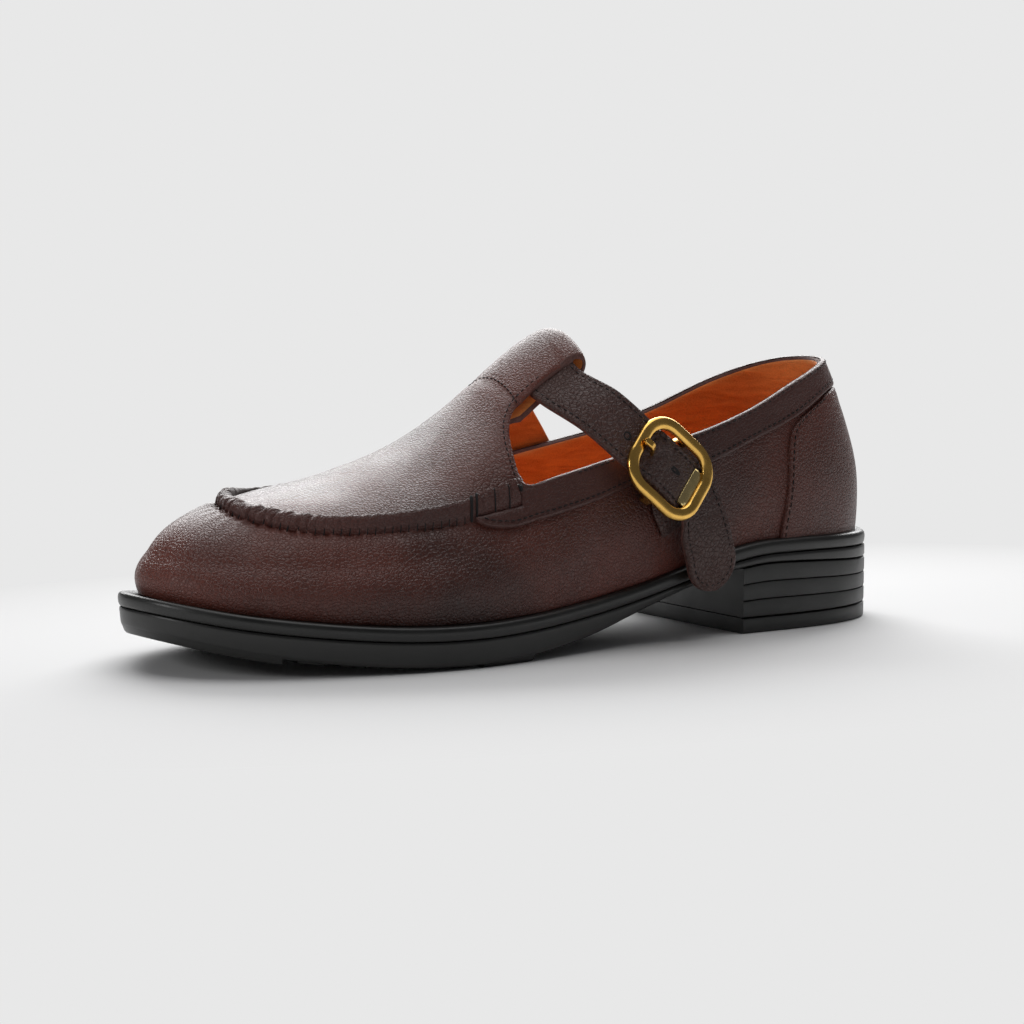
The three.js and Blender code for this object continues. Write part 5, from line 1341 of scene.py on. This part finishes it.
def make_buckle():
    length, width = BUCKLE_L - BAR_W, BUCKLE_W - BAR_W
    r = BUCKLE_R - BAR_W / 2
    route = []
    for q, (a, b) in enumerate(((1, 1), (-1, 1), (-1, -1), (1, -1))):
        for i in range(17):
            turn = math.pi / 2 * (q + i / 16)
            route.append((a * (length / 2 - r) + r * math.cos(turn),
                          b * (width / 2 - r) + r * math.sin(turn)))
    route = np.array(route)
    route = even(np.concatenate([route, route[:1]]), 161)[:-1]
    run = unit(np.roll(route, -1, axis=0) - np.roll(route, 1, axis=0))
    side = np.stack([run[:, 1], -run[:, 0]], axis=1)
    bow = -0.9 * ((route[:, 0] / (length / 2)) ** 2) * 0.35
    section = []
    for angle in 2 * math.pi * np.arange(20) / 20:
        c, s = math.cos(angle), math.sin(angle)
        section.append((BAR_W / 2 * math.copysign(abs(c) ** 0.8, c),
                        BAR_T / 2 * math.copysign(abs(s) ** 0.8, s)))
    rings = []
    for (u, v), (du, dv), sink in zip(route, side, bow):
        rings.append(np.array([at_buckle(u + (BAR_SPREAD * o + BAR_OUTSET) * du,
                                         v + (BAR_SPREAD * o + BAR_OUTSET) * dv, RING_LEVEL + up + sink)
                               for o, up in section]))
    parts = [loft(np.array(rings)[:, ::-1], closed_along=True)]

    def rounded_box(middle, size):
        turn = 2 * math.pi * np.arange(16) / 16
        c, s = np.cos(turn), np.sin(turn)
        x = np.sign(c) * np.abs(c) ** 0.35 * size[1] / 2
        y = np.sign(s) * np.abs(s) ** 0.35 * size[2] / 2
        rings = []
        for e, k in ((-1, 0.7), (-0.97, 0.9), (-0.9, 1), (0.9, 1), (0.97, 0.9), (1, 0.7)):
            rings.append(at_buckle(middle[0] + e * size[0] / 2, middle[1] + x * k, middle[2] + y * k))
        return loft(np.array(rings)[:, ::-1])
    for sign in (1, -1):
        parts.append(rounded_box((0, sign * width / 2, (RING_LEVEL + BAR_LEVEL - MID_T / 2) / 2),
                                 (MID_W, BAR_W * 0.8, RING_LEVEL - BAR_LEVEL + MID_T / 2)))
    parts.append(rounded_box((0, 0, BAR_LEVEL), (MID_W, width, MID_T)))
    points, faces = join(parts)
    add_mesh("buckle_ring", points, faces, [BRASS], None, "buckle_frame", 50)
    points, faces = rounded_box((length / 2 - BAR_W * 1.0, 0, RING_LEVEL - BAR_T * 0.3),
                                (BAR_W * 1.5, PLATE_W + 1.5, PLATE_T * 1.2))
    add_mesh("buckle_plate", points, faces, [PALE_BRASS], None, None, 50)


def make_prong():
    over = RING_LEVEL + BAR_T / 2 + GAP + PRONG_T / 2
    root = BAR_LEVEL + MID_T / 2 + GAP + PRONG_T / 2
    top = -(BUCKLE_L - BAR_W) / 2
    route = [(0.8, root), (-4.2, root), (-5.4, root + 0.3), (-7.4, 0), (-9.2, over - 1), (-10.6, over),
             (top, over),
             (top - BAR_W * 0.35, over - 0.1)]
    line = smooth_line([at_buckle(u, 0.0, n) for u, n in route], 70)
    run = unit(np.gradient(line, axis=0))
    across = np.repeat(ACROSS[None], 70, axis=0)
    normal = unit(np.cross(across, run))
    half = np.full(70, PRONG_W / 2)
    half[-4:] *= [0.96, 0.88, 0.7, 0.35]
    rings = band_rings(line, across, normal, half, PRONG_T, 14, None, 0.5)
    points, faces = loft(rings[:, ::-1])
    add_mesh("prong", points, faces, [BRASS], None, "buckle_prong", 50)


make_welt()
make_heel()
make_outsole()
make_footbed()
make_strap()
make_chape()
make_buckle()
make_prong()


# Floor, light and camera
def place_stage():
    """Pale paper that takes the shoe's shadow and is evenly lit further out."""
    material, tree, shader = new_material("floor_paper", (0.8, 0.8, 0.8), 0.9)
    spot = place(tree)
    shader.inputs["Specular IOR Level"].default_value = 0.0
    out = node(tree, "ShaderNodeVectorMath", {0: spot, 1: (0.0, 0.09, 0.0)}, operation="ADD").outputs[0]
    out = node(tree, "ShaderNodeVectorMath", {0: out, 1: (1 / SHADOW_FIELD[0], 1 / SHADOW_FIELD[1], 0.0)},
               operation="MULTIPLY").outputs[0]
    far = node(tree, "ShaderNodeVectorMath", {0: out}, operation="LENGTH").outputs["Value"]
    even_light = tree.nodes.new("ShaderNodeEmission")
    even_light.inputs["Color"].default_value = (PAPER_LIGHT, PAPER_LIGHT, PAPER_LIGHT, 1)
    mix = tree.nodes.new("ShaderNodeMixShader")
    tree.links.new(ramp(tree, far, 0.75, 1.7), mix.inputs[0])
    tree.links.new(shader.outputs[0], mix.inputs[1])
    tree.links.new(even_light.outputs[0], mix.inputs[2])
    tree.links.new(mix.outputs[0], tree.nodes["Material Output"].inputs["Surface"])
    mesh = bpy.data.meshes.new("floor")
    mesh.from_pydata([(x * FLOOR_HALF, y * FLOOR_HALF, 0) for x, y in ((-1, -1), (1, -1), (1, 1), (-1, 1))],
                     [], [(0, 1, 2, 3)])
    mesh.materials.append(material)
    floor = bpy.data.objects.new("floor", mesh)
    bpy.context.collection.objects.link(floor)
    floor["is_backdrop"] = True
    world = bpy.data.worlds.new("studio")
    bpy.context.scene.world = world
    world.use_nodes = True
    tree = world.node_tree
    height = node(tree, "ShaderNodeSeparateXYZ",
                  {0: tree.nodes.new("ShaderNodeTexCoord").outputs["Generated"]}).outputs[2]
    tree.links.new(blend_color(tree, ramp(tree, height, 0.03, 0.09),
                               (PAPER_LIGHT, PAPER_LIGHT, PAPER_LIGHT), (0.1, 0.1, 0.105)),
                   tree.nodes["Background"].inputs["Color"])
    sun = bpy.data.lights.new("dome", "SUN")
    sun.energy, sun.angle = 1.25, math.radians(60)
    obj = bpy.data.objects.new("dome", sun)
    obj.rotation_euler = (math.radians(-10), math.radians(-8), 0)
    bpy.context.collection.objects.link(obj)


def area_light(name, spot, target, size, power, tint=(1, 1, 1)):
    light = bpy.data.lights.new(name, "AREA")
    light.shape, light.size, light.size_y = "RECTANGLE", size[0], size[1]
    light.energy, light.color = power, tint
    obj = bpy.data.objects.new(name, light)
    bpy.context.collection.objects.link(obj)
    obj.location = spot
    obj.rotation_euler = (Vector(target) - Vector(spot)).to_track_quat("-Z", "Y").to_euler()
    return obj


place_stage()
# Places and sizes of the lights and the camera in metres, and the camera's angles in degrees
LIT_SPOT = (0.0, -0.12, 0.04)
AIM = (0, -0.10175, 0.045)
YAW, PITCH, ROLL = 34.62, 6.5, 0.54
DISTANCE, LENS, SENSOR = 1.2307, 140.6, 36.0
SHIFT_X, SHIFT_Y = 0.0066, -0.0183
area_light("back_panel", (-0.82, 0.45, 0.64), LIT_SPOT, (1.3, 0.7), 19.0)
area_light("front_panel", (0.0, -1.25, 0.5), LIT_SPOT, (0.4, 0.3), 2.6)

camera_data = bpy.data.cameras.new("camera")
camera = bpy.data.objects.new("camera", camera_data)
bpy.context.collection.objects.link(camera)
yaw, pitch, roll = math.radians(YAW), math.radians(PITCH), math.radians(ROLL)
back = np.array([math.cos(yaw) * math.cos(pitch), -math.sin(yaw) * math.cos(pitch), math.sin(pitch)])
spot = np.array(AIM) + back * DISTANCE
turn = Vector(-back).to_track_quat("-Z", "Y").to_matrix() @ Matrix.Rotation(roll, 3, "Z")
camera.matrix_world = Matrix.Translation(Vector(spot)) @ turn.to_4x4()
camera_data.lens = LENS
camera_data.sensor_width = SENSOR
camera_data.shift_x = SHIFT_X
camera_data.shift_y = SHIFT_Y
camera_data.clip_start, camera_data.clip_end = 0.05, 20
bpy.context.scene.camera = camera
bpy.context.scene.view_settings.view_transform = "Standard"

low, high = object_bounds()
({"cad": [list(map(float, v)) for v in cad_box],
           "visual": [list(map(float, low)), list(map(float, high))]})
